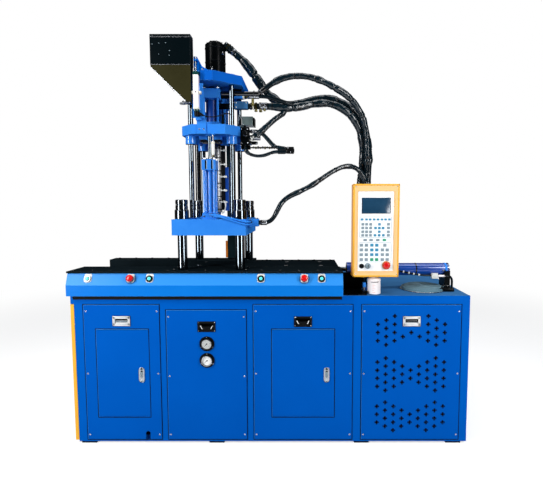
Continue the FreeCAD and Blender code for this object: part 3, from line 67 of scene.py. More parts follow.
def finish(name, colour, second, rough=0.4, patch=9.0, metal=0.0, amount=0.5, spread=0.08, grain=400.0,
           height=0.0, stretch=(1, 1, 1), round=0.0, wear=None, paintedGlow=0.0, gleam=0.2, above=None):
    # Two tones mixed by soft noise, an uneven gloss, a fine grain and lighter worn edges
    mat = bpy.data.materials.new(name)
    mat.use_nodes = True
    tree = mat.node_tree
    shader = tree.nodes["Principled BSDF"].inputs
    base, other = linear(colour) + (1,), linear(second) + (1,)
    mat.diffuse_color = base
    shader["Metallic"].default_value = metal
    shader["Specular IOR Level"].default_value = gleam
    place = wired(tree, "TexCoord", "Object")
    spot = wired(tree, "Mapping", "Vector", {"Vector": place, "Scale": stretch})
    blotch = wired(tree, "TexNoise", "Fac", {"Vector": spot, "Scale": patch, "Detail": 5, "Roughness": 0.6})
    tone = wired(tree, "ValToRGB", "Color", {"Fac": blotch})
    low, high = tone.node.color_ramp.elements
    low.position, high.position = 0.25, 0.75
    low.color, high.color = [b + (o - b) * amount for b, o in zip(base, other)], base
    if above:  # another colour above a height in metres
        z = wired(tree, "SeparateXYZ", "Z", {"Vector": place})
        over = wired(tree, "Math", "Value", {0: z, 1: above[0]}, operation="GREATER_THAN")
        tone = wired(tree, "Mix", "Result", {"Factor": over, "A": tone, "B": linear(above[1]) + (1,)},
                     data_type="RGBA")
    gloss = wired(tree, "MapRange", "Result",
                  {"Value": blotch, "To Min": max(0.03, rough - spread), "To Max": rough + spread})
    tree.links.new(gloss, shader["Roughness"])
    normal = None
    if round:
        normal = wired(tree, "Bevel", "Normal", {"Radius": round}, samples=4)
        if wear:  # where the rounded normal turns away from the true one
            flat = wired(tree, "NewGeometry", "True Normal")
            turn = wired(tree, "VectorMath", "Value", {0: normal, 1: flat}, operation="DOT_PRODUCT")
            edge = wired(tree, "MapRange", "Result",
                         {"Value": turn, "From Min": 0.985, "From Max": 0.80, "To Max": 0.75})
            tone = wired(tree, "Mix", "Result", {"Factor": edge, "A": tone, "B": linear(wear) + (1,)},
                         data_type="RGBA")
    if height:
        fine = wired(tree, "TexNoise", "Fac", {"Vector": spot, "Scale": grain, "Detail": 3})
        bump = {"Height": fine, "Strength": 0.5, "Distance": height}
        if normal:
            bump["Normal"] = normal
        normal = wired(tree, "Bump", "Normal", bump)
    if normal:
        tree.links.new(normal, shader["Normal"])
    tree.links.new(tone, shader["Base Color"])
    # emission of the surface's own colour: a painted glow on a part that is no lamp
    if paintedGlow:
        tree.links.new(tone, shader["Emission Color"])
        shader["Emission Strength"].default_value = paintedGlow
    return mat


sheet = {"height": 0.00012, "round": 0.0012, "gleam": 0.02, "spread": 0.07}
cast = {"height": 0.0003, "round": 0.002, "grain": 170, "wear": (110, 186, 250), "gleam": 0}
moulded = {"round": 0.0015, "grain": 300, "height": 0.0001}
blue = finish("bluePaint", (0, 92, 194), (0, 80, 176), 0.34, 2.2, grain=260, wear=(50, 140, 230), **sheet)
blueFrame = finish("blueFramePaint", (0, 96, 198), (0, 80, 176), 0.34, 1.6, grain=260, wear=(50, 140, 228),
                   **sheet)
blueCast = finish("blueCastPaint", (54, 136, 230), (30, 114, 216), 0.33, 14, **cast)
# the lighter colour above 0.962 m, on the apron's upward slope, is painted light falling from above
apronBlueWithPaintedLitSlope = finish("apronBluePaintedLitSlope", (10, 124, 222), (2, 110, 210), 0.3, 3, spread=0.07, grain=240,
                   height=0.00012, round=0.002, wear=(120, 190, 250), gleam=0.1,
                   above=(0.962, (48, 142, 228)))
blueDeep = finish("blueDeepPaint", (0, 58, 140), (0, 44, 116), 0.34, 14, grain=170, height=0.0003,
                  round=0.0015, wear=(40, 120, 210), gleam=0.3)
blueDeck = finish("blueDeckPaint", (62, 114, 164), (40, 86, 136), patch=3, grain=200, height=0.00012, gleam=0)
# a darker copy of the cast paint: painted shade on the top plate's edge faces right of x -395
castBlueWithPaintedShade = finish("castBluePaintedShade", (16, 98, 200), (6, 80, 178), 0.33, 10, **cast)
blueShine = finish("blueShinePaint", (54, 136, 232), (34, 116, 220), 0.12, 20, spread=0.03, gleam=0.9)
blueGloss = finish("blueGlossPaint", (0, 70, 170), (0, 50, 136), 0.16, 4, spread=0.04, gleam=1.0)
paintedEdgeHighlight = finish("paintedEdgeHighlight", (60, 150, 232), (40, 130, 220), 0.3, 10)
# pale blue paint, also used for the painted highlight strips on the seat cylinder's head
pale = finish("paleBluePaintAndPaintedHighlight", (176, 208, 238), (140, 186, 232), 0.3, 40)
yellow = finish("yellowPaint", (250, 186, 62), (232, 164, 44), 0.36, 5, grain=240, height=0.0001,
                round=0.001, wear=(255, 228, 160))
blackSteel = finish("blackedSteel", (14, 22, 26), (26, 34, 38), 0.5, 6, spread=0.12, grain=70,
                    height=0.00012, stretch=(0.35, 3, 1), round=0.001, wear=(90, 94, 96), gleam=0)
blackGloss = finish("blackOxide", (4, 6, 9), (12, 16, 20), 0.1, 30, spread=0.04, round=0.001,
                    wear=(120, 124, 128), gleam=1.0)
blackEnamel = finish("blackEnamel", (3, 5, 6), (10, 13, 14), 0.26, 8, grain=220, height=0.00012,
                     round=0.001, wear=(70, 74, 78), gleam=0.05)
blackPlastic = finish("blackPlastic", (9, 10, 12), (20, 22, 25), 0.34, 30, grain=900, height=0.00008,
                      gleam=0.1)
blackChrome = finish("blackChrome", (116, 122, 128), (86, 92, 98), 0.1, 30, 1.0, spread=0.04)
chrome = finish("hardChrome", (118, 128, 136), (100, 110, 118), 0.07, 3, 1.0, spread=0.03,
                stretch=(1, 1, 0.15))
chrome.node_tree.nodes["Principled BSDF"].inputs["Specular Tint"].default_value = (0.15, 0.16, 0.17, 1)
steel = finish("brightSteel", (170, 174, 180), (110, 114, 120), 0.26, 28, 1.0, spread=0.1, grain=500,
               height=0.00006, round=0.0006, wear=(236, 238, 240))
castGrey = finish("castIron", (70, 74, 76), (48, 52, 54), 0.6, 18, 0.2, grain=160, height=0.0006)
brass = finish("brass", (104, 96, 58), (62, 60, 36), 0.3, 60, 1.0, spread=0.12)
heater = finish("heaterBand", (206, 208, 210), (150, 152, 154), 0.34, 22, 0.7, spread=0.12, grain=300,
                height=0.00015, stretch=(1, 1, 0.3), round=0.0008, wear=(226, 226, 224))
hopperTwo = finish("hopperEnamel", (52, 50, 28), (34, 32, 16), 0.3, 5, spread=0.1, grain=200,
                   height=0.00015, round=0.001, wear=(120, 124, 124), gleam=0.05, above=(2.193, (3, 12, 16)))
binBlack = finish("binEnamel", (3, 11, 15), (10, 22, 28), 0.2, 12, spread=0.1, grain=60, height=0.0001,
                  round=0.0012, wear=(130, 140, 144), gleam=0.05)
orange = finish("orangeEnamel", (252, 208, 148), (248, 194, 124), 0.34, 3, wear=(255, 230, 184), **moulded)
orangeDeep = finish("orangeEdge", (240, 162, 62), (228, 144, 48), 0.34, 3, wear=(255, 220, 160), **moulded)
# the membrane's faint emission is a painted glow
membrane = finish("membrane", (244, 247, 250), (236, 242, 248), 0.42, 8, spread=0.05, grain=900,
                  height=0.00003, paintedGlow=0.08)
red = finish("redPlastic", (222, 18, 18), (190, 8, 10), 0.2, 20, gleam=0.5)
# the green lenses' emission is a painted glow
green = finish("greenLens", (96, 246, 238), (60, 226, 214), 0.16, 60, gleam=0.3, paintedGlow=0.25)
greenDark = finish("endCapGreen", (8, 66, 62), (4, 44, 42), patch=40)
white = finish("whitePlate", (240, 242, 240), (222, 226, 226), 0.36, 30, spread=0.05)
potWhite = finish("potPlastic", (252, 246, 246), (244, 234, 234), 0.3, 14, spread=0.06)
wireWhite = finish("whiteWire", (228, 230, 226), (190, 192, 188), patch=120)
cream = finish("creamPlastic", (236, 234, 222), (216, 214, 198), 0.34, 40)
coverGrey = finish("coverPaint", (96, 126, 138), (62, 94, 108), patch=10, spread=0.1, grain=220,
                   height=0.0002, round=0.0012, wear=(150, 176, 190), gleam=0.03)
boxGrey = finish("boxPaint", (122, 140, 138), (96, 114, 114), 0.32, 14, 0.1, round=0.001,
                 wear=(200, 210, 210))
plateBright = finish("brightPlate", (236, 238, 240), (206, 210, 214), 0.3, 30, 0.2, round=0.0006)
rubber = finish("hoseRubber", (5, 13, 18), (14, 34, 44), 0.24, 40, spread=0.1, grain=320, height=0.0004,
                gleam=0.15)
film = finish("sleeveFilm", (4, 13, 19), (14, 42, 54), 0.14, 26, amount=0.7, grain=90, height=0.0022,
              gleam=0.5)
dull = finish("dullRubber", (8, 9, 10), (18, 19, 20), 0.6, 40, grain=500, height=0.0002, gleam=0.1)
# one dark finish: the real dark of joints and gaps, and painted shade in vent holes, handle cups and slots
jointsAndPaintedShade = finish("jointDarkAndPaintedShade", (4, 5, 6), (9, 10, 11), 0.7, 10, gleam=0.05)
screen = finish("screenGlass", (20, 56, 84), (44, 84, 114), 0.12, 16, spread=0.04, gleam=0.4)
markBlue = finish("keyBlue", (40, 130, 170), (70, 160, 196), patch=200)
markGrey = finish("keyGrey", (120, 140, 150), (160, 176, 184), patch=200)
markGreen = finish("keyGreen", (20, 150, 110), (50, 180, 140), patch=200)
markRed = finish("scaleRed", (232, 140, 132), (240, 190, 184), 0.5, 120)
# the dial's emission is a painted glow
dialWhite = finish("dialWhite", (250, 251, 251), (240, 242, 242), patch=40, paintedGlow=0.12)
amber = finish("amberEdge", (214, 120, 20), (180, 92, 10), patch=14)
tealDark = finish("darkTeal", (6, 30, 36), (2, 16, 20), 0.34, 6)
print("finishes made:", len(bpy.data.materials))


def axes(way):
    # Two unit vectors square to a direction, and the direction itself.
    way = np.asarray(way, float)
    way = way / np.linalg.norm(way)
    side = np.cross(up if abs(way[2]) < 0.9 else back, way)
    side = side / np.linalg.norm(side)
    return side, np.cross(way, side), way


def aim(shape, at, way):
    # Turns a shape's +Z to a direction and moves its origin to a place.
    verts, faces = shape
    side, over, way = axes(way)
    return np.asarray(at) + verts[:, :1] * side + verts[:, 1:2] * over + verts[:, 2:3] * way, faces


def loft(rings, closed=False):
    # A skin over a stack of equal rings, rows along the piece and columns round it; the first and
    # last ring are capped unless the stack closes on itself.
    rings = np.asarray(rings, float)
    rows, columns = rings.shape[:2]
    i, j = np.meshgrid(np.arange(rows if closed else rows - 1), np.arange(columns), indexing="ij")
    nextRow, nextColumn = (i + 1) % rows, (j + 1) % columns
    quads = np.stack([i * columns + j, i * columns + nextColumn, nextRow * columns + nextColumn,
                      nextRow * columns + j], -1).reshape(-1, 4)
    faces = quads.tolist()
    if not closed:
        faces.append(list(range(columns - 1, -1, -1)))
        faces.append(list(range((rows - 1) * columns, rows * columns)))
    return rings.reshape(-1, 3), faces


def circle(sides):
    # The angles of evenly spaced points round a circle.
    return np.linspace(0, 2 * math.pi, sides, endpoint=False)


def turned(profile, at, way=up, sides=32, lobes=None, closed=False):
    # A profile of (radius, height) carried round an axis; lobes scales the radius by angle.
    profile = np.asarray(profile, float)
    angle = circle(sides)
    radius = profile[:, :1] * (np.ones(sides) if lobes is None else lobes(angle))[None]
    rings = np.stack([radius * np.cos(angle), radius * np.sin(angle),
                      np.repeat(profile[:, 1:], sides, 1)], -1)
    return aim(loft(rings, closed), at, way)


def ring(inner, outer, height, at, way=up, soft=0.6, sides=40, lobes=None):
    # A washer with softened rims: its section is carried round the axis.
    section = [(inner, 0), (outer - soft, 0), (outer, soft), (outer, height - soft), (outer - soft, height),
               (inner, height)]
    return turned(section, at, way, sides, lobes, closed=True)


def crossScrew(r, at, way=front):
    # A domed head: its height falls with the square of the radius, and a cross is sunk into it.
    share = np.array([1, 1, 0.94, 0.8, 0.62, 0.6, 0.4, 0.2, 0.04])[:, None]
    angle = circle(32)[None]
    height = r * 0.55 * (1 - 0.6 * share ** 2)
    height = np.where(share < 0.61, height - r * 0.3 * (np.cos(2 * angle) ** 2 > 0.82), height)
    height[0] = 0
    return aim(loft(np.stack([r * share * np.cos(angle), r * share * np.sin(angle), height], -1)), at, way)


def hexagon(angle):
    # Radius of a six-sided outline of unit flat-to-centre distance.
    return 1 / np.cos((angle + math.pi / 6) % (math.pi / 3) - math.pi / 6)


def nut(r, height, at, way=up):
    # A hexagon with chamfered ends, r from centre to flat.
    edge = r * 0.12
    return turned([(r * 0.86, 0), (r, edge), (r, height - edge), (r * 0.86, height)], at, way, 48, hexagon)


def socketScrew(r, at, way=up):
    # A cap screw: round head with a sunk socket.
    h = r * 1.1
    return turned([(r * 0.96, 0), (r, h * 0.1), (r, h * 0.86), (r * 0.9, h), (r * 0.56, h),
                   (r * 0.5, h * 0.5), (r * 0.05, h * 0.45)], at, way, 24)


def cornered(w, h, r, inset=0.0):
    # Outline of a rectangle with round corners, moved in by inset: 24 points, anticlockwise.
    w, h, r = w / 2 - inset, h / 2 - inset, max(r - inset, 0.05)
    quarter = np.linspace(0, math.pi / 2, 6)
    points = []
    for k, (sx, sy) in enumerate(((1, 1), (-1, 1), (-1, -1), (1, -1))):
        a = quarter + k * math.pi / 2
        points.append(np.stack([sx * (w - r) + r * np.cos(a), sy * (h - r) + r * np.sin(a)], -1))
    return np.concatenate(points)


def slab(w, h, depth, r, soft, at, way=front):
    # A rounded plate standing depth high along a direction, with softened rims.
    steps = [(soft, 0), (soft * 0.3, soft * 0.3), (0, soft), (0, depth - soft),
             (soft * 0.3, depth - soft * 0.3), (soft, depth)]
    return aim(loft([np.c_[cornered(w, h, r, inset), np.full(24, z)] for inset, z in steps]), at, way)


def block(x0, x1, y0, y1, z0, z1, soft=1.5, r=2.0):
    # A block between two corners with softened edges.
    return slab(x1 - x0, y1 - y0, z1 - z0, r, soft, ((x0 + x1) / 2, (y0 + y1) / 2, z0), up)


def smooth(points, steps=12):
    # A smooth line through points: a Catmull-Rom curve, worked out as arrays.
    p = np.asarray(points, float)
    p = np.concatenate([[2 * p[0] - p[1]], p, [2 * p[-1] - p[-2]]])
    t = np.linspace(0, 1, steps, endpoint=False)[:, None]
    runs = [0.5 * (2 * b + (c - a) * t + (2 * a - 5 * b + 4 * c - d) * t ** 2
                   + (3 * b - a - 3 * c + d) * t ** 3) for a, b, c, d in zip(p, p[1:], p[2:], p[3:])]
    return np.concatenate(runs + [p[-2:-1]])


def tubeRings(path, r, angle):
    # Rings of radius r about a path; each ring's side vector is carried on from the one before.
    way = np.gradient(path, axis=0)
    way /= np.linalg.norm(way, axis=1)[:, None]
    side = np.empty_like(way)
    side[0] = axes(way[0])[0]
    for k in range(1, len(way)):
        s = side[k - 1] - way[k] * np.dot(side[k - 1], way[k])
        side[k] = s / np.linalg.norm(s)
    over = np.cross(way, side)
    return path[:, None] + r[..., None] * (np.cos(angle)[None, :, None] * side[:, None]
                                           + np.sin(angle)[None, :, None] * over[:, None])


def pipe(path, r, sides=12, closed=False):
    # A round wire or pipe along a path.
    path = np.asarray(path, float)
    return loft(tubeRings(path, np.full((len(path), 1), float(r)), circle(sides)), closed)


def upright(outline, x, y, z):
    # An outline stood upright: its two axes become X and Z, about a place.
    return np.stack([outline[:, 0] + x, np.full(len(outline), y), outline[:, 1] + z], -1)


def four(x, y, dx, dy):
    # The four corners of a rectangle about a place.
    return [(x + sx * dx, y + sy * dy) for sx in (-1, 1) for sy in (-1, 1)]


def around(count, r, start=0.0):
    # Evenly spaced offsets round a circle, from a start angle in degrees.
    return [(r * math.cos(a), r * math.sin(a)) for a in np.radians(start + 360 / count * np.arange(count))]


def inFinish(mat, *shapes):
    # Each shape with the same finish, as make takes them.
    return [(shape, mat) for shape in shapes]


def make(name, body, parts, stands=(), sharp=32):
    # One object from (mesh, finish) pairs, riding on a body.
    verts, faces, index, mats, first = [], [], [], [], 0
    for (v, f), mat in parts:
        if mat not in mats:
            mats.append(mat)
        verts.append(v)
        faces += [[k + first for k in face] for face in f]
        index += [mats.index(mat)] * len(f)
        first += len(v)
    mesh = bpy.data.meshes.new(name)
    mesh.from_pydata((np.concatenate(verts) * 0.001).tolist(), [], faces)
    mesh.polygons.foreach_set("material_index", index)
    for mat in mats:
        mesh.materials.append(mat)
    mesh.polygons.foreach_set("use_smooth", [True] * len(faces))
    mesh.set_sharp_from_angle(angle=math.radians(sharp))
    obj = bpy.data.objects.new(name, mesh)
    bpy.context.scene.collection.objects.link(obj)
    if body:
        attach(obj, body)
    if stands:
        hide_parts(*stands)
    return obj


def dress(node, mat, *rules):
    # Gives a CAD node its finish, and another one to the faces whose centres pass a test.
    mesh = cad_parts[node].data
    mesh.materials.clear()
    mesh.materials.append(mat)
    centre = np.empty(len(mesh.polygons) * 3)
    mesh.polygons.foreach_get("center", centre)
    x, y, z = centre.reshape(-1, 3).T * 1000
    index = np.zeros(len(x), int)
    for k, (other, test) in enumerate(rules, 1):
        mesh.materials.append(other)
        index[test(x, y, z)] = k
    mesh.polygons.foreach_set("material_index", index)


def screwed(places, r, mat, way=up, kind=socketScrew):
    # One screw head on each place, all facing one way.
    return inFinish(mat, *(kind(r, place, way) for place in places))


# camera: the photograph's own lens and height, a little above the table, tipped down
cameraSet = {"place": (0.185, -2.809, 1.407), "tip": 4.3, "lens": 27.18, "shift": (-0.0562, -0.0037)}
lens = bpy.data.cameras.new("camera")
lens.lens, lens.sensor_width = cameraSet["lens"], 36.0
lens.shift_x, lens.shift_y = cameraSet["shift"]
lens.clip_end = 200
camera = bpy.data.objects.new("camera", lens)
camera.location = cameraSet["place"]
camera.rotation_euler = (math.radians(90 - cameraSet["tip"]), 0, 0)
bpy.context.scene.collection.objects.link(camera)
bpy.context.scene.camera = camera

# hoses, in millimetres: radius, length, bodies, node, the sleeve's looseness and pleat, and the route
deckLevel = 887
hoseRuns = {
    "motorHose": {"r": 20, "length": 470, "bodies": ("injection_ram", "injection_seat"),
                  "node": "hose_motor", "sleeve": (8.5, 2.4), "route": [
        (-240, -200, 2362), (-190, -199, 2322), (-140, -194, 2266), (-97, -186, 2204), (-52, -176, 2142),
        (-2, -168, 2092), (60, -162, 2056), (96, -160, 2056)]},
    "motorRunUpper": {"r": 20, "length": 812, "bodies": ("injection_seat", "clamp_unit"),
                      "node": "hoses_upper", "sleeve": (4.5, 3.0), "route": [
        (96, -160, 2056), (132, -158, 2056), (196, -158, 2068), (272, -158, 2088), (350, -157, 2094),
        (428, -154, 2074), (500, -149, 2030), (556, -142, 1966), (596, -133, 1884), (615, -122, 1794),
        (620, -112, 1712), (619, -107.5, 1673)]},
    "motorRunLower": {"r": 20, "length": 787, "bodies": ("clamp_unit", "machine_base"),
                      "node": "hoses_lower", "sleeve": (3.5, 2.6), "route": [
        (619, -107.5, 1673), (618, -103, 1634), (613, -94, 1556), (607, -87, 1440), (603, -81, 1290),
        (602, -78, 1060), (602, -78, deckLevel)]},
    "cylinderRunUpper": {"r": 20, "length": 931, "bodies": ("injection_seat", "clamp_unit"),
                         "node": "hoses_upper", "sleeve": (4.0, 3.0), "route": [
        (-60, -280, 2014), (-8, -280, 2014), (50, -274, 2010), (112, -255, 2010), (180, -232, 2024),
        (255, -214, 2046), (334, -204, 2054), (412, -196, 2036), (482, -184, 1994), (536, -168, 1932),
        (566, -152, 1856), (576, -138, 1776), (575, -124, 1700), (573.5, -117, 1664)]},
    "cylinderRunLower": {"r": 20, "length": 780, "bodies": ("clamp_unit", "machine_base"),
                         "node": "hoses_lower", "sleeve": (3.5, 2.6), "route": [
        (573.5, -117, 1664), (572, -110, 1628), (565, -99, 1552), (557, -90, 1440), (553, -82, 1290),
        (554, -78, 1060), (554, -78, deckLevel)]},
    "arcRunUpper": {"r": 16, "length": 1016, "bodies": ("injection_seat", "clamp_unit"),
                    "node": "hoses_upper", "sleeve": (4.0, 2.6), "route": [
        (-35, -318, 2108), (8, -318, 2139), (60, -316, 2166), (118, -311, 2182), (180, -303, 2187),
        (246, -293, 2180), (316, -281, 2160), (390, -266, 2126), (466, -248, 2084), (532, -226, 2022),
        (574, -204, 1940), (594, -186, 1856), (600, -172, 1770), (600, -159, 1698), (598, -152.5, 1664)]},
    "arcRunLower": {"r": 16, "length": 779, "bodies": ("clamp_unit", "machine_base"),
                    "node": "hoses_lower", "sleeve": (3.0, 2.2), "route": [
        (598, -152.5, 1664), (596, -146, 1630), (590, -136, 1552), (584, -130, 1440), (580, -128, 1290),
        (579, -128, 1060), (579, -128, deckLevel)]},
    "platenHose": {"r": 13, "length": 1524, "bodies": ("clamp_unit", "machine_base"),
                   "node": "hose_platen", "sleeve": (2.6, 1.8), "route": [
        (-53, -348, 1315), (-22, -348, 1315), (10, -345, 1336), (34, -341, 1380), (62, -333, 1436),
        (108, -322, 1474), (174, -309, 1502), (240, -292, 1536), (310, -272, 1584), (378, -250, 1630),
        (440, -230, 1660), (500, -208, 1664), (548, -190, 1640), (582, -180, 1590), (602, -176, 1520),
        (624, -168, 1410), (640, -150, 1290), (646, -134, 1170), (646, -130, 1030), (646, -130, deckLevel)]},
    "seatRiser": {"r": 14, "length": 283, "bodies": ("injection_seat",),
                  "node": "seat_hoses", "sleeve": (6.5, 3.0), "route": [
        (-130, -318, 1822), (-104, -318, 1822), (-74, -315, 1842), (-42, -309, 1874), (-8, -301, 1908),
        (24, -290, 1938), (52, -277, 1960), (72, -268, 1974), (81, -264.5, 1989.5)]},
    "boxLoop": {"r": 8, "length": 262, "bodies": ("injection_seat",),
                "node": "seat_hoses", "sleeve": (3.6, 0.8), "route": [
        (-130, -318, 1858), (-106, -318, 1858), (-78, -317, 1860), (-50, -315, 1844), (-24, -313, 1818),
        (0, -311, 1788), (26, -309, 1768), (60, -308, 1760), (96, -308, 1758)]},
    "lowLoop": {"r": 8, "length": 291, "bodies": ("injection_seat",),
                "node": "seat_hoses", "sleeve": (3.6, 0.8), "route": [
        (-155, -318, 1775), (-155, -318, 1752), (-140, -318, 1731), (-112, -318, 1717), (-74, -317, 1712),
        (-36, -315, 1718), (-4, -313, 1732), (28, -311, 1740), (62, -310, 1739), (96, -310, 1738)]},
    "cylinderCable": {"r": 5.2, "bodies": ("machine_base",), "route": [
        (796, -238, 1004), (830, -246, 1000), (870, -250, 992), (920, -252, 982), (968, -250, 977),
        (1002, -244, 976)]},
    "cylinderTail": {"r": 7, "bodies": ("machine_base",), "route": [
        (1080, -246, 974), (1100, -246, 974), (1122, -244, 970), (1134, -240, 952), (1136, -236, 926),
        (1136, -234, 893)]},
    "middleHose": {"r": 11.5, "bodies": ("injection_seat",), "route": [
        (-76, -306, 2066), (-40, -306, 2066), (-4, -305, 2060), (30, -302, 2050), (64, -298, 2040),
        (96, -288, 2030), (126, -272, 2024)]},
    "sensorCable": {"r": 3, "bodies": ("injection_seat",), "route": [
        (-372, -468, 1921), (-350, -468, 1912), (-320, -462, 1912), (-292, -448, 1920), (-266, -430, 1932),
        (-246, -408, 1944), (-236, -380, 1948), (-234, -350, 1946), (-235.5, -330, 1944)]},
}


def routeLine(points, steps=12):
    # The smooth line of a route: a quadratic NURBS curve whose control points are the route's own.
    curve = bpy.data.curves.new("route", "CURVE")
    curve.dimensions = "3D"
    spline = curve.splines.new("NURBS")
    spline.points.add(len(points) - 1)
    spline.points.foreach_set("co", np.c_[np.array(points) * 0.001, np.ones(len(points))].ravel())
    spline.order_u = 3
    spline.use_endpoint_u = True
    spline.resolution_u = steps
    holder = bpy.data.objects.new("route", curve)
    mesh = bpy.data.meshes.new_from_object(holder)
    co = np.empty(len(mesh.vertices) * 3)
    mesh.vertices.foreach_get("co", co)
    bpy.data.objects.remove(holder)
    bpy.data.meshes.remove(mesh)
    return co.reshape(-1, 3)


def bend(obj, bodies):
    # Bakes a hose's, or its sleeve's, placement into its mesh when it runs between two bodies.
    if len(bodies) == 2:
        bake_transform(obj)


def layHose(name, mat=rubber):
    # A round tube about the route's smooth line, riding on its body when it has only one.
    run = hoseRuns[name]
    line = routeLine(run["route"])
    run["line"] = line * 1000
    bodies = run["bodies"]
    hose = make(name, bodies[0] if len(bodies) == 1 else None, [(pipe(run["line"], run["r"], 20), mat)],
                (run["node"],) if "node" in run else (), 60)
    bend(hose, bodies)


for name in hoseRuns:
    if "node" in hoseRuns[name]:
        layHose(name)

# cabinet: painted frame, deck, covers, doors and feet; panels and doors as left, right, base, top
cabinet = {"front": -457.0, "screwR": 3.8, "seam": 4.2, "shadowBand": (-1150, 418, -459, -447, 871, 899),
           "panels": ((-1093, -648, 24, 842), (-611, -140, 24, 810), (-101, 483, 24, 842),
                      (534.2, 1117, 24, 842)),
           "doors": ((-1024, -713, 161, 697), (6, 377, 161, 697))}
face = cabinet["front"]
dress("base_frame", blueFrame, (blueDeck, lambda x, y, z: z > 892.6))
for node in ("front_panel_left", "front_panel_gauge", "front_panel_middle", "front_panel_vented",
             "rear_covers"):
    dress(node, blue)
dress("side_cover_left", yellow)
dress("levelling_feet", dull)

# vents: painted shade in each cross-shaped hole, as a dark rim round it and a dark plate behind; bands as
# drop, holes and half steps
ventSet = {"x": 825.0, "top": 842.0, "pitch": 49.0, "outer": (12.6, 4.9, 4.9), "inner": (10.8, 0.3, 3.9),
           "bands": ((167.0, "344111443", "..+-.-+.."), (418.5, "454323454", "........."),
                     (663.0, "344323443", "..-----..")),
           "backs": ((582, 760, 540, 800), (892, 1070, 540, 800), (760, 892, 540, 690), (582, 1070, 24, 540))}


def cross(far, wide, notch):
    # A flat cross: each arm's two corners and the corner between two arms, round the four points.
    turns = np.radians([0, 90, 180, 270])
    u, v = np.c_[np.cos(turns), np.sin(turns)], np.c_[-np.sin(turns), np.cos(turns)]
    return np.stack([u * far - v * wide, u * far + v * wide, (u + v) * notch], 1).reshape(-1, 2)


vents = [block(x0, x1, -454.6, -453.2, z0, z1, 0.4) for x0, x1, z0, z1 in ventSet["backs"]]
outer, inner, pitch = cross(*ventSet["outer"]), cross(*ventSet["inner"]), ventSet["pitch"]
for drop, counts, shifts in ventSet["bands"]:
    for column, (count, shift) in enumerate(zip(counts, shifts)):
        x = ventSet["x"] + (column - 4) * pitch
        high = ventSet["top"] - drop + pitch * (int(count) - 1 + (shift == "+") - (shift == "-")) / 2
        for z in high - pitch * np.arange(int(count)):
            vents.append(loft([upright(outer, x, face + 0.1, z), upright(outer, x, face - 0.5, z),
                               upright(inner, x, face - 0.5, z), upright(inner, x, face + 0.1, z)], True))
make("ventPaintedShade", "machine_base", inFinish(jointsAndPaintedShade, *vents))
# a dull black strip under the apron's edge: painted shadow of the apron's overhang
make("apronPaintedShadow", "machine_base", inFinish(dull, block(*cabinet["shadowBand"], 1)))

screws, r = [], cabinet["screwR"]
for low, high, base, top in cabinet["panels"]:
    for x in (low + 15, high - 15):
        for z in (base + 31, (base + 31 + top - 40.5) / 2, top - 40.5):
            screws += inFinish(steel, ring(r * 0.9, r * 1.35, 0.8, (x, face, z), front, 0.3, 20),
                               crossScrew(r, (x, face - 0.6, z)))
make("coverScrews", "machine_base", screws, ("cover_screws",))


def seams(low, high, base, top):
    # The dark gap round a panel or door, with a painted highlight along its top and left edges.
    w, y0, y1 = cabinet["seam"] / 2, face - 0.5, face + 2
    gap = [block(low - w, high + w, y0, y1, z - w, z + w, 0.1, 1) for z in (base, top)]
    gap += [block(x - w, x + w, y0, y1, base, top, 0.1, 1) for x in (low, high)]
    return inFinish(jointsAndPaintedShade, *gap) + inFinish(
        paintedEdgeHighlight, block(low + w, high - w, y0 - 0.2, y1, top - w - 1.8, top - w, 0.1, 1),
        block(low + w, low + w + 1.4, y0 - 0.2, y1, base + w, top - w, 0.1, 1))


gaps = [strip for area in cabinet["panels"] + cabinet["doors"] for strip in seams(*area)]
make("panelSeamsAndPaintedHighlights", "machine_base", gaps)

# doors: oval lock plate with its rim, triangular key, and the lever's grip
lockSet = {"doors": (("left", -760.0), ("middle", 330.0)), "z": 421.0, "size": (33.0, 90.0), "keyRise": 36.0,
           "key": ((6.4, 0), (6.4, 1.2), (5.12, 2.2), (0.4, 2.4))}


def threeSided(angle):
    # Radius of a rounded triangle.
    return 0.72 / np.maximum(np.cos((angle + math.pi / 6) % (2 * math.pi / 3) - math.pi / 3), 0.5)


for side, x in lockSet["doors"]:
    z, (w, h) = lockSet["z"], lockSet["size"]
    dress("door_" + side, blue,
          (steel, lambda px, y, pz: (abs(px - x) < 17) & (abs(pz - z) < 46) & (y < face + 0.5)))
    dress("lock_lever_" + side, steel)
    plate = [(slab(w + 2, h + 2, 1.4, 17, 0.7, (x, face - 1.6, z)), plateBright),
             (pipe(upright(cornered(w - 1, h - 1, 16), x, face - 4.2, z), 1.3, 8, True), chrome),
             (turned(lockSet["key"], (x, face - 3.8, z + lockSet["keyRise"]), front, 36, threeSided),
              blackPlastic),
             (turned([(5.5, 0), (5.5, 1.8), (4.5, 2.6), (0.3, 2.8)], (x, face - 3.8, z - 38), front, 24),
              chrome)]
    make("lockFace" + side.title(), "door_" + side, plate)
    grip = [(slab(14.5, 44, 2.2, 6.5, 1.0, (x, face - 3.7, z + 5)), chrome),
            (slab(9, 22, 1.2, 4, 0.5, (x, face - 5.4, z + 8)), markGrey)]
    make("lockGrip" + side.title(), "lock_lever_" + side, grip)

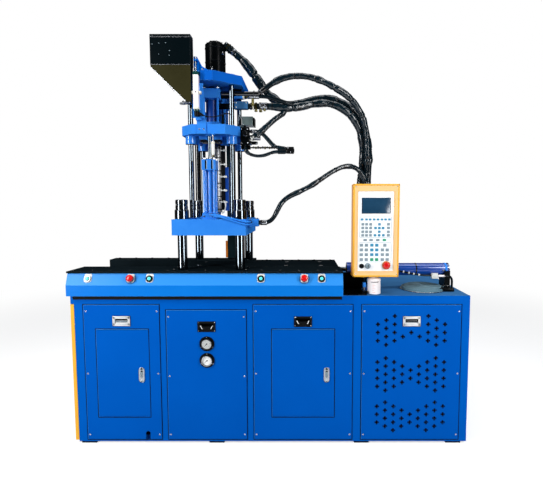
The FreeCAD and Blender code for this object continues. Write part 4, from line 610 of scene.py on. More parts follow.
# recessed pull handles: bright cups at both ends, black ones in the middle
handleSet = {"w": 105.0, "h": 62.0,
             "places": ((-869.5, 744.5, True), (-373.5, 710.5, False), (190.5, 740.5, False),
                        (825.5, 743.0, True))}
# the cups' insides take the dark finish as painted shade
dress("handle_cups", chrome, (jointsAndPaintedShade, lambda x, y, z: (abs(x) > 500) & (y > -454)),
      (blackPlastic, lambda x, y, z: (abs(x) < 500) & (y < -453.9)),
      (jointsAndPaintedShade, lambda x, y, z: (abs(x) < 500) & (y > -454)))
pulls, w, h = [], handleSet["w"], handleSet["h"]
for x, z, bright in handleSet["places"]:
    pulls += inFinish(chrome if bright else blackPlastic,
                      pipe(upright(cornered(w - 3, h - 3, 5), x, -460.2, z), 1.8, 8, True),
                      pipe(upright(cornered(w - 20, h - 20, 6), x, -460.4, z), 1.4, 8, True))
    pulls += screwed([(px, -460, pz) for px, pz in four(x, z, w / 2 - 6, h / 2 - 6)], 2.9, steel, front,
                     crossScrew)
    if bright:
        pulls += inFinish(plateBright, slab(74, 20, 5, 7, 2, (x, -452, z - 8)),
                          *(slab(w - 8, 15, 1.0, 3, 0.4, (x, -460.6, z + s * (h / 2 - 10))) for s in (-1, 1)),
                          *(slab(13, h - 10, 1.0, 3, 0.4, (x + s * (w / 2 - 9), -460.6, z)) for s in (-1, 1)))
    else:
        # bright arcs at the black bar's two ends: painted glints
        paintedGlintArcs = [[(x + s * 36, -455, z + 4), (x + s * 31, -459, z - 3), (x + s * 28, -459, z - 10),
                  (x + s * 22, -457, z - 14)] for s in (-1, 1)]
        pulls += inFinish(plateBright, *(pipe(smooth(glintArc, 6), 2.8, 10) for glintArc in paintedGlintArcs))
        pulls += inFinish(blackPlastic, slab(52, 10, 4, 4, 1.6, (x, -456, z - 13)))
make("handleTrim", "machine_base", pulls)

# the two pressure gauges: rim, dial, scale, flange screws and hub
gaugeSet = {"x": -373.0, "zs": (608.0, 509.0), "from": 225, "sweep": 270, "marks": 26, "redFrom": 21,
            "scaleR": 25.8, "numberR": 16.5, "numberSize": 5.2, "screwR": 38.5}
dress("gauge_cases", blackEnamel)
x, faces = gaugeSet["x"], []
for z in gaugeSet["zs"]:
    faces.append((ring(28.6, 31.4, 3.0, (x, -472.6, z), front, 0.8, 48), steel))
    faces.append((turned([(28.4, 0), (28.4, 0.8), (0.3, 0.8)], (x, -463.8, z), front, 48), dialWhite))
    for k in range(gaugeSet["marks"]):
        turn = math.radians(gaugeSet["from"] - gaugeSet["sweep"] * k / (gaugeSet["marks"] - 1))
        near, wide = (20.6, 0.55) if k % 5 == 0 else (23.2, 0.28)
        out = np.array([math.cos(turn), math.sin(turn)])
        side = np.array([-out[1], out[0]]) * wide
        a, b = out * near, out * gaugeSet["scaleR"]
        tick = np.array([a - side, a + side, b + side, b - side])
        faces.append((loft([upright(tick, x, level, z) for level in (-464.65, -464.8)]),
                      markRed if k >= gaugeSet["redFrom"] else blackPlastic))
    faces += screwed([(x + dx, -461.0, z + dz) for dx, dz in around(3, gaugeSet["screwR"], 90)], 3.6, steel,
                     front, crossScrew)
    faces.append((turned([(3.4, 0), (3.4, 2.2), (2.2, 3.2), (0.2, 3.4)], (x, -467.2, z), front, 20),
                  blackGloss))
    make("gaugeFaces", "machine_base", faces)
for node in ("needle_upper", "needle_lower"):
    dress(node, blackPlastic)


def dialNumber(text, size, at, body, mat):
    # A number on a dial: its letter outline is made a mesh, stood upright and then placed.
    letters = bpy.data.curves.new("number", "FONT")
    letters.body, letters.size = text, size * 0.001
    letters.align_x, letters.align_y, letters.extrude = "CENTER", "CENTER", 0.00006
    holder = bpy.data.objects.new("number", letters)
    mesh = bpy.data.meshes.new_from_object(holder)
    bpy.data.objects.remove(holder)
    co = np.empty(len(mesh.vertices) * 3)
    mesh.vertices.foreach_get("co", co)
    u, v, w = co.reshape(-1, 3).T
    x, y, z = np.multiply(at, 0.001)
    mesh.vertices.foreach_set("co", np.stack([u + x, y - w, v + z], -1).ravel())
    mesh.materials.append(mat)
    obj = bpy.data.objects.new("dialNumber", mesh)
    bpy.context.scene.collection.objects.link(obj)
    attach(obj, body)


for z in gaugeSet["zs"]:
    for k in range(6):
        turn = math.radians(gaugeSet["from"] - gaugeSet["sweep"] * k / 5)
        at = (x + gaugeSet["numberR"] * math.cos(turn), -464.72, z + gaugeSet["numberR"] * math.sin(turn))
        dialNumber(str(k * 5), gaugeSet["numberSize"], at, "machine_base", blackPlastic)
print("cabinet dressed")

# table: folded apron, black edge plate, bed, guard post, buttons and stops
slopeWay, slopeUp = np.array([0, -0.934, 0.357]), np.array([0, 0.357, 0.934])
buttonSet = {"y": -486.48, "z": 997.36, "starts": (-1041.0, -687.0, -50.0, 297.7),
             "stops": (("estop_left", -794.9), ("estop_right", 198.2)),
             "capRing": ((4.9, -9), (4.9, 3), (11.9, 3), (11.9, 10), (11.2, 11.2), (9.2, 11.4)),
             "dome": ((9.3, 10), (9.2, 11.6), (7, 12.4), (3, 12.8), (0.3, 12.9)),
             "mushroom": ((12, 14.8), (17, 15.4), (20, 18), (20.4, 22), (19.6, 25.5), (15.5, 28.4), (8, 30),
                          (0.3, 30.4))}
# the apron's slope carries the painted light of its finish
dress("table_apron", apronBlueWithPaintedLitSlope)
dress("table_front_plate", blackSteel)
dress("table_bed", blackSteel, (tealDark, lambda x, y, z: (y > 73) & (z > 1041)),
      (amber, lambda x, y, z: (y > 73) & (x < -340.5) & (z > 1045)), (blueCast, lambda x, y, z: z < 920))
dress("button_bezels", blackGloss)
dress("slide_plate", blackSteel, (chrome, lambda x, y, z: x > 412.5))


def onApron(x):
    # A place in the line of buttons on the apron's slope.
    return np.array([x, buttonSet["y"], buttonSet["z"]])


def stopButton(name, node, at, way, stem, cap):
    # A stem with a mushroom head on it, both turned; it stands for its node.
    make(name, node, [(turned(stem, at, way, 40), blackPlastic), (turned(cap, at, way, 48), red)],
         (node,), 50)


plates = []
for at in map(onApron, buttonSet["starts"]):
    plates += inFinish(white, slab(43, 50, 1.6, 9, 0.6, at + slopeUp * 5, slopeWay),
                       ring(19.8, 22.4, 2.6, at, slopeWay))
# a darker blue disc under each stop's white plate: painted shadow of the mushroom head
for _, x in buttonSet["stops"]:
    plates += [(turned([(30, 0), (30, 1.4), (28.8, 2.4), (20, 2.6)], onApron(x), slopeWay, 48), blueDeck),
               (slab(42, 48, 3.6, 9, 0.8, onApron(x) + slopeUp * 4, slopeWay), white)]
make("buttonPlates", "machine_base", plates)
for k, at in enumerate(map(onApron, buttonSet["starts"]), 1):
    cap = [(turned(buttonSet["capRing"], at, slopeWay, 40), blackGloss),
           (turned(buttonSet["dome"], at, slopeWay, 40), green)]
    make("startCap%d" % k, "start_button_%d" % k, cap, ("start_button_%d" % k,), 50)
for node, x in buttonSet["stops"]:
    stopButton("stopHead" + node[6:].title(), node, onApron(x), slopeWay, [(11.9, -9), (11.9, 10)],
               buttonSet["mushroom"])

# screws along the table's edge and rail, as (x, y, z) rows, and the rims of the mould holes
edgeRow = [(x, -470.0, 1040.0) for x in np.linspace(-1130, 385, 15)]
stopRow = [(x, y, 1040.0) for x in (-560, -140) for y in (-446, -354)]
railRow = [(x, 21.0, 1050.0) for x in np.linspace(-1080, -180, 9)]
railRow += [(x, 21.0, 1037.0) for x in np.linspace(-60, 380, 5)]
make("edgeScrews", "machine_base", screwed(edgeRow, 5, blackGloss) + screwed(stopRow, 7, blackGloss))
make("railScrews", "machine_base", screwed(railRow, 7, blackGloss))
rims = [ring(7.5, 11.5, 1.2, (x, y, 1040.2), sides=28) for x in (-460, -240, 84, 304) for y in (-248, -68)]
make("mouldHoleRims", "slide_table", inFinish(blackGloss, *rims))
print("table dressed")

# right deck: table cylinder with its rings, end cap, saddle nuts, cable ties and plug
# the foot below the tube, under z 971.5, is painted black as painted shade so it reads as the dark under the
# cylinder
dress("slide_cylinder", blueGloss, (blackSteel, lambda x, y, z: (x < 470.6) & (abs(z - 1011) < 30)),
      (blackEnamel, lambda x, y, z: z < 971.5))
for node, mat in (("panel_arm", blueFrame), ("hose_collars", dull), ("power_pack", castGrey),
                  ("clamp_cylinder", blueCast), ("lower_crosshead", blueCast)):
    dress(node, mat)
slideSet = {"y": -200.0, "z": 1011.0, "r": 39.0, "seam": 905.0, "head": 516.5, "cap": 1110.5, "band": 1092.0}
y, z, r = slideSet["y"], slideSet["z"], slideSet["r"]
capProfile = [(r - 1, 0), (r + 1.4, 1), (r + 1.4, 7), (r - 3, 9.4), (r - 9, 10), (0.5, 10)]
trim = inFinish(blackGloss, ring(r - 1, r + 0.9, 9, (slideSet["seam"], y, z), right, sides=48),
                ring(r - 1, r + 1.2, 5, (slideSet["head"], y, z), right, sides=48))
trim += [(turned(capProfile, (slideSet["cap"], y, z), right, 48), chrome),
         (ring(r - 1, r + 1.6, 12, (slideSet["band"], y, z), right, 0.8, 48), blueCast)]
trim += screwed([(1119, y + dy, z + dz) for dy, dz in around(6, 26, 30)], 4, blackGloss, right)
trim += inFinish(steel, *(nut(7, 6, (x, y + s * 46, 1007)) for x in (540, 1080) for s in (-1, 1)))
layHose("cylinderCable")
line = hoseRuns["cylinderCable"]["line"]
ties = [turned([(5.6, 0), (7.4, 1), (7.4, 8), (5.6, 9)], line[k], line[k + 1] - line[k], 16)
        for k in (6, 16, 26, 36)]
trim += inFinish(wireWhite, *ties, nut(9, 17, (1006, y - 44, 976), right),
                 block(1000, 1042, y - 58, y - 36, 958, 992, 2, 3))
trim += [(turned([(7, 0), (7, 46)], (1040, y - 46, 974), right, 20), potWhite),
         (block(786, 800, y - 46, y - 20, 990, 1012, 2, 3), blackGloss)]
layHose("cylinderTail")
make("slideCylinderTrim", "machine_base", trim)

# tank cover: stepped lid with rings, a bolt circle, a latch and its bail
coverSet = {"x": 944.0, "y": -255.0, "r": 132.0, "low": 893.0, "bolts": 48, "rings": 9}
x, y, r, low = coverSet["x"], coverSet["y"], coverSet["r"], coverSet["low"]
steps = [(r + 3, 0), (r + 3, 5), (r - 1, 8), (r - 1, 14), (r - 4, 18), (r - 15, 18), (r - 15, 20),
         (r - 17, 23), (r - 24, 24), (0.5, 24)]
cover = [(turned(steps, (x, y, low), sides=96), coverGrey),
         (ring(r - 10, r + 5.5, 5.4, (x, y, low), soft=1.6, sides=96), steel)]
cover += inFinish(coverGrey, *(ring(14 + k * 11.5, 19.5 + k * 11.5, 2.4, (x, y, low + 23.2), soft=0.8,
                                    sides=28 + 7 * k) for k in range(coverSet["rings"])))
cover += screwed([(x + dx, y + dy, low + 17.6) for dx, dy in around(coverSet["bolts"], r - 7.5)], 2.6,
                 coverGrey, up, crossScrew)
bail = [(x + dx, y - 68, low + dz) for dx, dz in ((96, 20), (104, 33), (140, 33), (148, 20))]
cover += [(slab(92, 44, 20, 8, 2.5, (x + 0.93 * r, y - 0.52 * r, low + 1), up), blackEnamel),
          (pipe(smooth(bail, 6), 4, 10), blackGloss)]
make("tankCoverDetail", "machine_base", cover, ("tank_cover",))

# lubricator pot: round-shouldered jar, ribbed cap, level marks, dark band and its bracket
potSet = {"x": 615.0, "y": -384.0, "r": 40.0, "low": 893.0, "marks": 5}
x, y, r, low = potSet["x"], potSet["y"], potSet["r"], potSet["low"]
jar = [(r - 3, 0), (r - 1, 2), (r - 1, 70), (r - 3, 72), (r - 3, 74), (r, 76), (r, 82), (r - 2, 90),
       (r - 8, 95), (r - 16, 96.5), (0.5, 97)]


def onPot(inset, start, end, count, level):
    # An arc on the pot's wall at one level, between two angles in degrees.
    a = np.radians(np.linspace(start, end, count))
    return np.stack([x + (r - inset) * np.cos(a), y + (r - inset) * np.sin(a), np.full(count, low + level)],
                    -1)


pot = inFinish(potWhite, turned(jar, (x, y, low), sides=56),
               turned([(18, 0), (18, 3), (15, 5), (0.4, 5)], (x, y, low + 95.6), sides=40,
                      lobes=lambda a: 1 + 0.02 * np.cos(20 * a)))
pot += inFinish(markRed, *(pipe(onPot(0.9, -112, -96 + 8 * (k % 2 == 0), 8, 12 + k * 11), 0.9, 6)
                           for k in range(potSet["marks"])))
pot += inFinish(blackPlastic, pipe(onPot(1.4, -130, -60, 16, 72.6), 1.3, 8),
                block(x - 6, x + 6, y + 34, y + 70, low, low + 40, 2, 3))
make("lubePotDetail", "machine_base", pot, ("lube_pot",))

# deck edge: black blocks beside the table, painted shade laid out as a trough's lips, floor and back, with
# its small valve and drain
deckShadeSet = {"lips": ((424, 566, -444, -418, 893, 896, 0.8, 3), (424, 440, -440, -262, 893, 896, 0.8, 3),
                      (430, 556, -262, -250, 893, 908, 0.8, 3)),
             "floor": (440, 560, -418, -262, 893, 894.6, 0.5),
             "back": (424, 574, -262, -256, 900, 1000, 1, 3), "valve": (548, 566, -392, -366, 930, 958, 2, 3),
             "drain": (556, 574, -416, -400, 893, 912, 2, 3)}
deckShade = inFinish(blackEnamel, *(block(*lip) for lip in deckShadeSet["lips"]), block(*deckShadeSet["floor"]),
                  block(*deckShadeSet["back"]))
deckShade += [(block(*deckShadeSet["valve"]), blueCast),
           (turned([(6, 0), (6, 40)], (557, -379, 893), sides=20), steel),
           (block(*deckShadeSet["drain"]), blackEnamel)]
make("deckPaintedShade", "machine_base", deckShade)

# control panel: bevelled case, membrane with its screen, keys, port, knob and stop; the face's
# own grid is in the photograph's pixels, as left, top, width and height
panelSet = {"x": (481.0, 750.0), "y": -430.0, "z": (1000.0, 1540.0), "grid": (354.4, 183.4, 44.8, 93.4),
            "screen": (363.1, 197.4, 390.2, 212.4), "stop": (677.0, 1068.0),
            "groups": ((361.0, 216.2, 391.4, 236.9), (360.4, 242.0, 391.6, 261.6))}
dress("panel_case", orange, (orangeDeep, lambda x, y, z: (y > -429.5) | (x < 483)))
dress("panel_keypad", membrane)


def panelSpot(px, py):
    # A place on the panel's face from its grid.
    (x0, x1), (z0, z1), (left, top, wide, high) = panelSet["x"], panelSet["z"], panelSet["grid"]
    return x0 + (px - left) / wide * (x1 - x0), z1 - (py - top) / high * (z1 - z0)


def panelArea(left, top, rightEdge, low):
    # The centre and size of an area on the panel's face.
    (x0, z1), (x1, z0) = panelSpot(left, top), panelSpot(rightEdge, low)
    return (x0 + x1) / 2, (z0 + z1) / 2, x1 - x0, z1 - z0


def onPanel(x, z, proud=0.0):
    return x, panelSet["y"] - proud, z


keys = []


def keyRow(xs, py, w, h, mat):
    # A row of keys with one size, one finish and one height on the grid
    for px in xs:
        keys.append((slab(w, h, 1.0, 2, 0.45, onPanel(*panelSpot(px, py))), mat))


x, z, w, h = panelArea(*panelSet["screen"])
keys += [(slab(w + 5, h + 5, 1.6, 3, 0.7, onPanel(x, z)), blackPlastic),
         (slab(w, h, 2.2, 2.5, 0.5, onPanel(x, z)), screen)]
keyRow((363.1, 367.4, 370.9, 374.8, 378.5, 382.3, 385.8, 389.5), 218.7, 15, 11, markBlue)
for py in (223.5, 227.2, 231.1, 234.6):
    keyRow((363.9, 367.6, 371.5), py, 16, 15, markGrey)
    keyRow((388.7,), py, 17, 15, markGrey)
for py, xs in ((223.6, (380,)), (227.3, (376.2, 379.9, 383.5)), (231, (379.9,)),
               (234.6, (375.8, 379.8, 383.9))):
    keyRow(xs, py, 15, 14, markBlue)
keyRow((366.3, 372.1, 378.5), 239.4, 20, 13, markGrey)
keyRow((385,), 239.4, 20, 13, markGreen)
for py in (244.6, 249.4, 254.2, 259.2):
    keyRow((362.8, 367.6), py, 19, 17, markGrey)
    keyRow((372.9, 377.7), py, 19, 17, markGreen if py > 259 else markBlue)
    keyRow((385.5,) if py < 245 else (383.2, 387.9), py, 19, 17, markGrey)
for group in panelSet["groups"]:
    x, z, w, h = panelArea(*group)
    keys.append((pipe(upright(cornered(w, h, 5), *onPanel(x, z, 0.2)), 0.8, 6, True), markGrey))
x, z = panelSpot(362.4, 265.8)
port = [(14, 0), (14, 3), (11, 4.6), (9, 4.6), (9, 1.5), (0.4, 1.5)]
keys.append((turned(port, onPanel(x + 4, z), front, 36), blackPlastic))
x, z = panelSpot(368.6, 265.7)
knob = [(17, 0), (17, 3), (15, 4), (13, 4), (12.4, 16), (11, 18), (0.4, 18)]
keys += [(turned(knob, onPanel(x + 3, z), front, 40, lambda a: 1 + 0.02 * np.cos(16 * a)), markGrey),
         (slab(3, 22, 3, 1, 0.5, onPanel(x + 3, z, 17)), blackPlastic),
         (slab(52, 52, 2.4, 6, 0.8, onPanel(*panelSet["stop"])), white),
         (ring(13.5, 25, 3.4, onPanel(*panelSet["stop"]), front, 0.8, 48), amber),
         (pipe(upright(cornered(214, 471, 8), 613, -430.4, 1266.5), 2.2, 8, True), orange)]
make("panelKeys", "control_panel", keys)
lips = ((481, 750, 1531, 1541), (481, 750, 999, 1009), (481, 491, 1000, 1540), (740, 750, 1000, 1540))
lip = inFinish(yellow, *(block(x0, x1, -431.5, -421, z0, z1, 2, 3) for x0, x1, z0, z1 in lips))
lip += screwed([(x, -430, z) for x in (499, 738) for z in (1016, 1526)], 3.4, steel, front, crossScrew)
lip += inFinish(orange, slab(150, 190, 2, 5, 0.8, (620, -352, 1400), back))
lip += inFinish(steel, *(nut(6, 5, (x, -352, z), back) for x in (580, 660) for z in (1180, 1330)))
make("panelLips", "control_panel", lip)
stopButton("panelStop", "panel_estop", onPanel(*panelSet["stop"]), front, [(11.9, -16), (11.9, 12)],
           [(12, 10.6), (17, 11), (20, 12.6), (20.4, 15.4), (19.4, 18.6), (15, 21.2), (8, 22.6), (0.3, 23)])
print("right deck and panel dressed")

# clamp unit: tie bars, platen, slotted nuts, guide rods, seat cylinder and its fittings
clampSet = {"axis": (-350.0, -200.0), "bars": (170, 200), "rods": (121, 150), "top": 1337.0, "low": 1242.4,
            "nutR": 35.0, "collarR": 40.5, "nutStep": 30.5}
axisX, axisY = clampSet["axis"]
bars, rods = four(axisX, axisY, *clampSet["bars"]), four(axisX, axisY, *clampSet["rods"])
for node in ("guide_rods", "screw"):
    dress(node, chrome)
dress("tie_bars", chrome, (blackGloss, lambda x, y, z: z > 1450))
dress("moving_platen", blueCast,
      (blackSteel, lambda x, y, z: (np.hypot(x + 350, y + 200) < 79) & (z > 1246) & (z < 1336.5)))
dress("seat_cylinder", blueShine, (steel, lambda x, y, z: z > 1679.5))
dress("platen_pipes", blueCast, (brass, lambda x, y, z: x > -74.5))


def slotted(angle):
    # Radius of a round nut with eight slots.
    return 1 - 0.08 * (np.cos(8 * angle) > 0.8)


nuts, platenTrim, top = [], [], clampSet["top"]
for x, y in bars:
    nuts.append((ring(27.2, clampSet["collarR"], 52.6, (x, y, top), soft=2.2, sides=64), blackChrome))
    for z in (top + 53, top + 53 + clampSet["nutStep"]):
        nuts += inFinish(blackChrome, ring(27.2, clampSet["nutR"], 29.6, (x, y, z), soft=2.0, sides=96),
                         ring(30, clampSet["nutR"] + 0.9, 12, (x, y, z + 9), soft=0.8, sides=96,
                              lobes=slotted))
    nuts.append((ring(24, 29.5, 2.5, (x, y, top + 111.5), soft=1.0, sides=48), steel))
    nuts += screwed([(x + dx, y + dy, top + 52.2) for dx, dy in around(6, 36.8, 30)], 3.4, blackChrome)
    platenTrim.append((ring(27.4, 33, 3, (x, y, clampSet["low"]), soft=1, sides=48), blackGloss))
make("slottedNuts", "clamp_unit", nuts, ("tie_bar_nuts",))
for x, y in rods:
    platenTrim.append((ring(15.2, 25, 7, (x, y, top), soft=1.4, sides=48), blueCast))
    platenTrim += screwed([(x + dx, y + dy, top + 6.8) for dx, dy in around(4, 20.5, 45)], 2.6, blackGloss)
make("platenTrim", "clamp_unit", platenTrim)


def squareCylinder(y, foot, bands, high, side, r, rodR=7):
    # Washers, nuts and rod tips on a square cylinder's head, cap nuts round its foot, and the seal
    # rings at both ends of its tube.
    t, shapes = side / 2 - rodR - 5, []
    tip = [(rodR * 0.9, 0), (rodR * 0.9, rodR * 1.7), (rodR * 0.6, rodR * 2), (0.3, rodR * 2)]
    for px, py in four(axisX, y, t, t):
        shapes += inFinish(steel, ring(rodR, rodR * 1.9, 1.6, (px, py, high), soft=0.4, sides=28),
                           nut(rodR * 1.5, rodR * 1.1, (px, py, high + 1.6)),
                           turned(tip, (px, py, high), sides=24))
        shapes.append((nut(rodR * 1.35, 6, (px, py, foot)), blueCast))
    return shapes + inFinish(blueCast, *(ring(r - 1, r + 3.4, 5, (axisX, y, z), soft=1.2, sides=56)
                                         for z in (foot, bands - 5)))


seatY = -400.0
seatCylinder = squareCylinder(seatY, 1371, 1620, 1679, 80, 18)
seatCylinder += [(ring(10.5, 24, 5, (axisX, seatY, 1679), soft=1.4, sides=48), blueCast),
                 (nut(11, 9, (axisX, seatY, 1684)), steel)]
# dark slots as painted shade and pale strips beside them as painted highlights on the head's front
for x in (-366, -331):
    seatCylinder += [(slab(9, 52, 0.8, 2.5, 0.3, (x, -440, 1650)), jointsAndPaintedShade),
                     (slab(3, 50, 1.2, 1.4, 0.4, (x + 6.5, -440, 1650)), pale)]
seatCylinder += screwed([(x, -440, 1354) for x in (-380, -320)], 5, steel, front)
make("seatCylinderTrim", "clamp_unit", seatCylinder)
sleeveEnd = [(12.5, 0), (15.4, 2), (15.4, 26), (13.4, 30)]
corner = [(nut(12, 12, (-76, -348, 1315), right), brass), (nut(13.5, 14, (-66, -348, 1315), right), steel),
          (turned(sleeveEnd, (-54, -348, 1315), right, 36), steel)]
corner += screwed([(x, y, top) for x in (-126, -86) for y in (-380, -318)], 5, steel)
corner += [(nut(8, 8, (-117, -391, 1322), front), brass)]
corner += inFinish(steel, *(nut(8, 9, (x, -440, z), front) for x, z in ((-338, 1363), (-323, 1356))))
make("platenFittings", "clamp_unit", corner)

# injection seat: plate, bushes, barrel with its heater bands, terminals and their wires
seatSet = {"top": 1879.0, "low": 1776.0, "bandLow": 1375.0, "bandStep": 80.0, "bands": 5,
           "joints": (1394.0, 1474.0, 1556.0, 1634.0, 1715.0, 1791.0),
           "terminals": (1439.0, 1512.0, 1597.0, 1673.0, 1759.0),
           "dumbbell": ((1.5, 0), (5.4, 2), (6.6, 6), (5.2, 10), (2.8, 13), (2.8, 22), (5.2, 25), (7.2, 29),
                        (6.2, 34), (0.4, 38))}
dress("seat_plate", blueCast, (blueShine, lambda x, y, z: z < 1823.8),
      (chrome, lambda x, y, z: (np.hypot(x + 350, y + 400) < 11) & (z < 1854)),
      (blueFrame, lambda x, y, z: z > 1878.6))
dress("barrel", steel, (blackSteel, lambda x, y, z: z > 1878))
dress("barrel_heaters", heater, (boxGrey, lambda x, y, z: z > 1878.5),
      (blueDeep, lambda x, y, z: (x > -298.9) & (z < 1700)),
      (blackPlastic, lambda x, y, z: (x > -322) & (x < -298.5) & (z < 1800)))
bands = []
for k in range(2 * seatSet["bands"]):
    z = seatSet["bandLow"] + k // 2 * seatSet["bandStep"] + (54 if k % 2 else 18)
    bands += [(block(-392, -378, -206, -194, z - 8, z + 8), heater),
              (nut(4, 5, (-385, -206, z), front), steel)]
bands.append((block(-323, -297.5, -213, -187, 1389, 1792, 2, 3), blackPlastic))
for z in seatSet["terminals"]:
    bands += inFinish(wireWhite, turned(seatSet["dumbbell"], (-329, -222, z), right, 24),
                      turned([(4, 0), (6, 2), (6, 8), (0.3, 9)], (-290, -216, z), front, 20))
    bands.append((block(-330, -322, -226, -204, z - 5, z + 5), blackPlastic))
wires = [[(-306 + 3 * k, -224, 1447 - 6 * k), (-292 - k, -232, 1425 - 8 * k),
          (-299 - 2 * k, -232, 1392 - 6 * k), (-318, -222, 1368)] for k in range(4)]
bands += inFinish(wireWhite, *(pipe(smooth(wire, 8), 2.6, 8) for wire in wires))
make("heaterDetails", "injection_seat", bands)
bandGaps = [ring(24.4, 30.6 if z < 1780 else 28, 6.5, (axisX, axisY, z - 3.2), sides=48)
            for z in seatSet["joints"]]
make("bandGaps", "injection_seat", inFinish(jointsAndPaintedShade, *bandGaps))
junction = [(block(-186.5, -117.5, -242, -158, 1955, 1963, 1.5, 4), boxGrey),
            (block(-118.5, -108, -234, -166, 1908, 1957, 2, 4), blackEnamel)]
junction += screwed([(x, -240, z) for x in (-179, -125) for z in (1917, 1950)], 3, steel, front, crossScrew)
junction.append((turned([(9, 0), (9, 6), (7, 8), (7, 18), (0.4, 19)], (-172, -214, 1911), down, 24),
                 blackPlastic))
make("junctionTrim", "injection_seat", junction)

# the two injection cylinders, the bushes, and the small parts under the seat plate
injectSet = {"ys": (-314, -86), "foot": 1905, "bands": 2043, "head": 2097, "side": 104, "tubeR": 33}
dress("injection_cylinders", blueCast,
      (blueDeep, lambda x, y, z: (np.hypot(x + 350, np.abs(y + 200) - 114) < 33.6) & (z > 1906) & (z < 2042)),
      (blackGloss, lambda x, y, z: (x > -120) & (z > 2044) & (y < -295)),
      (blackGloss, lambda x, y, z: (x > -294) & (np.hypot(y + 318, z - 2077.6) < 14.6)),
      (blackSteel, lambda x, y, z: (x > -294) & (z > 1995) & (np.hypot(y + 280, z - 2014) < 17.6)),
      (blackEnamel, lambda x, y, z: (x > -180.5) & (z < 1880)))
seat = []
for y in injectSet["ys"]:
    seat += squareCylinder(y, injectSet["foot"], injectSet["bands"], injectSet["head"], injectSet["side"],
                           injectSet["tubeR"])
    seat.append((ring(18.4, 30, 6, (axisX, y, injectSet["head"]), soft=1.6, sides=48), blueCast))
for x, y in rods:
    seat += [(ring(15.1, 26, 5, (x, y, seatSet["top"]), soft=1.2, sides=48), blueCast),
             (ring(15.1, 31.6, 4, (x, y, seatSet["low"]), soft=1.6, sides=48), blueShine)]
    seat += screwed([(x + dx, y + dy, seatSet["top"] + 5) for dx, dy in around(3, 20.6, 20)], 3, steel)
seat.append((ring(11, 22, 7.6, (axisX, seatY, 1816.4), soft=1.2), blueCast))
for x0, x1, x in ((-424, -373, -406), (-341, -289, -304)):
    seat += [(block(x0, x1, -354, -272, 1805, 1824.4, 2.5, 3), blueCast),
             (block(x0 + 8, x1 - 8, -352, -280, 1790, 1805.4, 2, 3), blackPlastic),
             (turned([(6, 0), (6, 8), (5, 10), (5, 15), (0.3, 16)], (x, -346, 1805), down, 20), pale)]
seat += [(turned([(9, 0), (9, 34), (7, 36), (0.3, 36)], (-416, -330, 1806), down, 24), blueDeep),
         (block(-327, -311, -463, -436, 1815.6, 1825, 2, 3), blueCast)]
for profile, low, sides, mat in (([(4, 0), (4, 44)], 1775, 20, steel),
                                 ([(7, 0), (10.5, 3), (10.5, 13), (6, 16)], 1762, 28, cream),
                                 ([(5, 0), (8, 3), (9.6, 12), (9.6, 60), (8, 64), (5, 66)], 1700, 32, white),
                                 ([(3, 0), (6, 3), (6, 11), (4, 12)], 1690, 20, brass)):
    seat.append((turned(profile, (-319, -455, low), sides=sides), mat))
make("seatTrim", "injection_seat", seat)
print("clamp unit and seat dressed")


# fittings and manifold at the tower's right side
def hoseEnd(at, way, r, length=46):
    # A crimped hose socket: a grooved sleeve behind a hexagon.
    side = np.asarray(way, float) / np.linalg.norm(way)
    groove = [(r + 1, 0), (r + 3.5, 1.5)]
    for k in range(3):
        s = 6 + k * (length - 12) / 3
        groove += [(r + 3.5, s), (r + 2.4, s + 1.5), (r + 2.4, s + 3.5), (r + 3.5, s + 5)]
    groove += [(r + 3.5, length - 2), (r + 0.6, length)]
    return inFinish(steel, turned(groove, at, way, 36), nut(r + 2, 12, np.asarray(at) - side * 11, way))


fittingSet = {"arcWay": (0.811, 0, 0.585), "arcY": -318, "lineY": -280, "lineZ": 2014, "nozzleY": -306,
              "nozzleZ": 2066.0, "taps": ((-92, -34, 9), (-64, -36, 10), (-40, -30, 7))}
arcWay, arcY, lineY, lineZ = (fittingSet[key] for key in ("arcWay", "arcY", "lineY", "lineZ"))
fittings = [(turned([(9, 0), (10.5, 2), (10.5, 40), (9, 44), (9, 58), (0.4, 58)], (-52, arcY, 2095.5), arcWay,
                    28), white),
            (nut(17, 12, (-66, arcY, 2084), arcWay), steel),
            (ring(14, 18, 8, (-104, arcY, 2077.6), right, 1.2), blackGloss)]
fittings += hoseEnd((-64, lineY, lineZ), right, 19, 40)
fittings += [(nut(20, 14, (-100, lineY, lineZ), right), brass),
             (ring(17, 20.5, 7, (-112, lineY, lineZ), right, 1), cream),
             (nut(18.6, 10, (-128, lineY, lineZ), right), blackGloss)]
for x, dz, r in fittingSet["taps"]:
    fittings += inFinish(brass, nut(r, 9, (x, -290, lineZ + dz)),
                         turned([(r * 0.6, 0), (r * 0.6, 16)], (x, -290, lineZ + dz), sides=20))
# the middle line: dark nozzle, blue sleeve, cream ring, brass neck and its silver socket
y, z = fittingSet["nozzleY"], fittingSet["nozzleZ"]
fittings += [(turned([(13, 0), (13, 118), (11, 122), (11, 128), (0.4, 128)], (-325, y, z), right, 36),
              blackEnamel),
             (turned([(14.5, 0), (14.5, 50), (13, 53), (0.4, 53)], (-219, y, z), right, 36), blueCast),
             (ring(8, 15.4, 9, (-168, y, z), right, 1, 36), cream), (nut(11, 12, (-158, y, z), right), brass),
             (turned([(9, 0), (9, 14)], (-147, y, z), right, 24), brass)]
fittings += hoseEnd((-128, y, z), right, 11.5, 58)
fittings.append((turned([(8, 0), (8, 44), (10, 46), (10, 56), (0.4, 56)], (-109, y, 2010), up, 24), brass))
# the manifold block behind the lower pipe
fittings += [(block(-222, -140, -300, -262, 1996, 2040, 2, 4), blueDeck),
             (block(-226, -178, -296, -268, 2084, 2112, 2, 4), blackEnamel)]
fittings += screwed([(x, -300.4, z) for x, z in ((-212, 2031), (-150, 2031), (-212, 2005))], 5, steel, front,
                    crossScrew)
make("tubeFittings", "injection_seat", fittings)
layHose("middleHose")

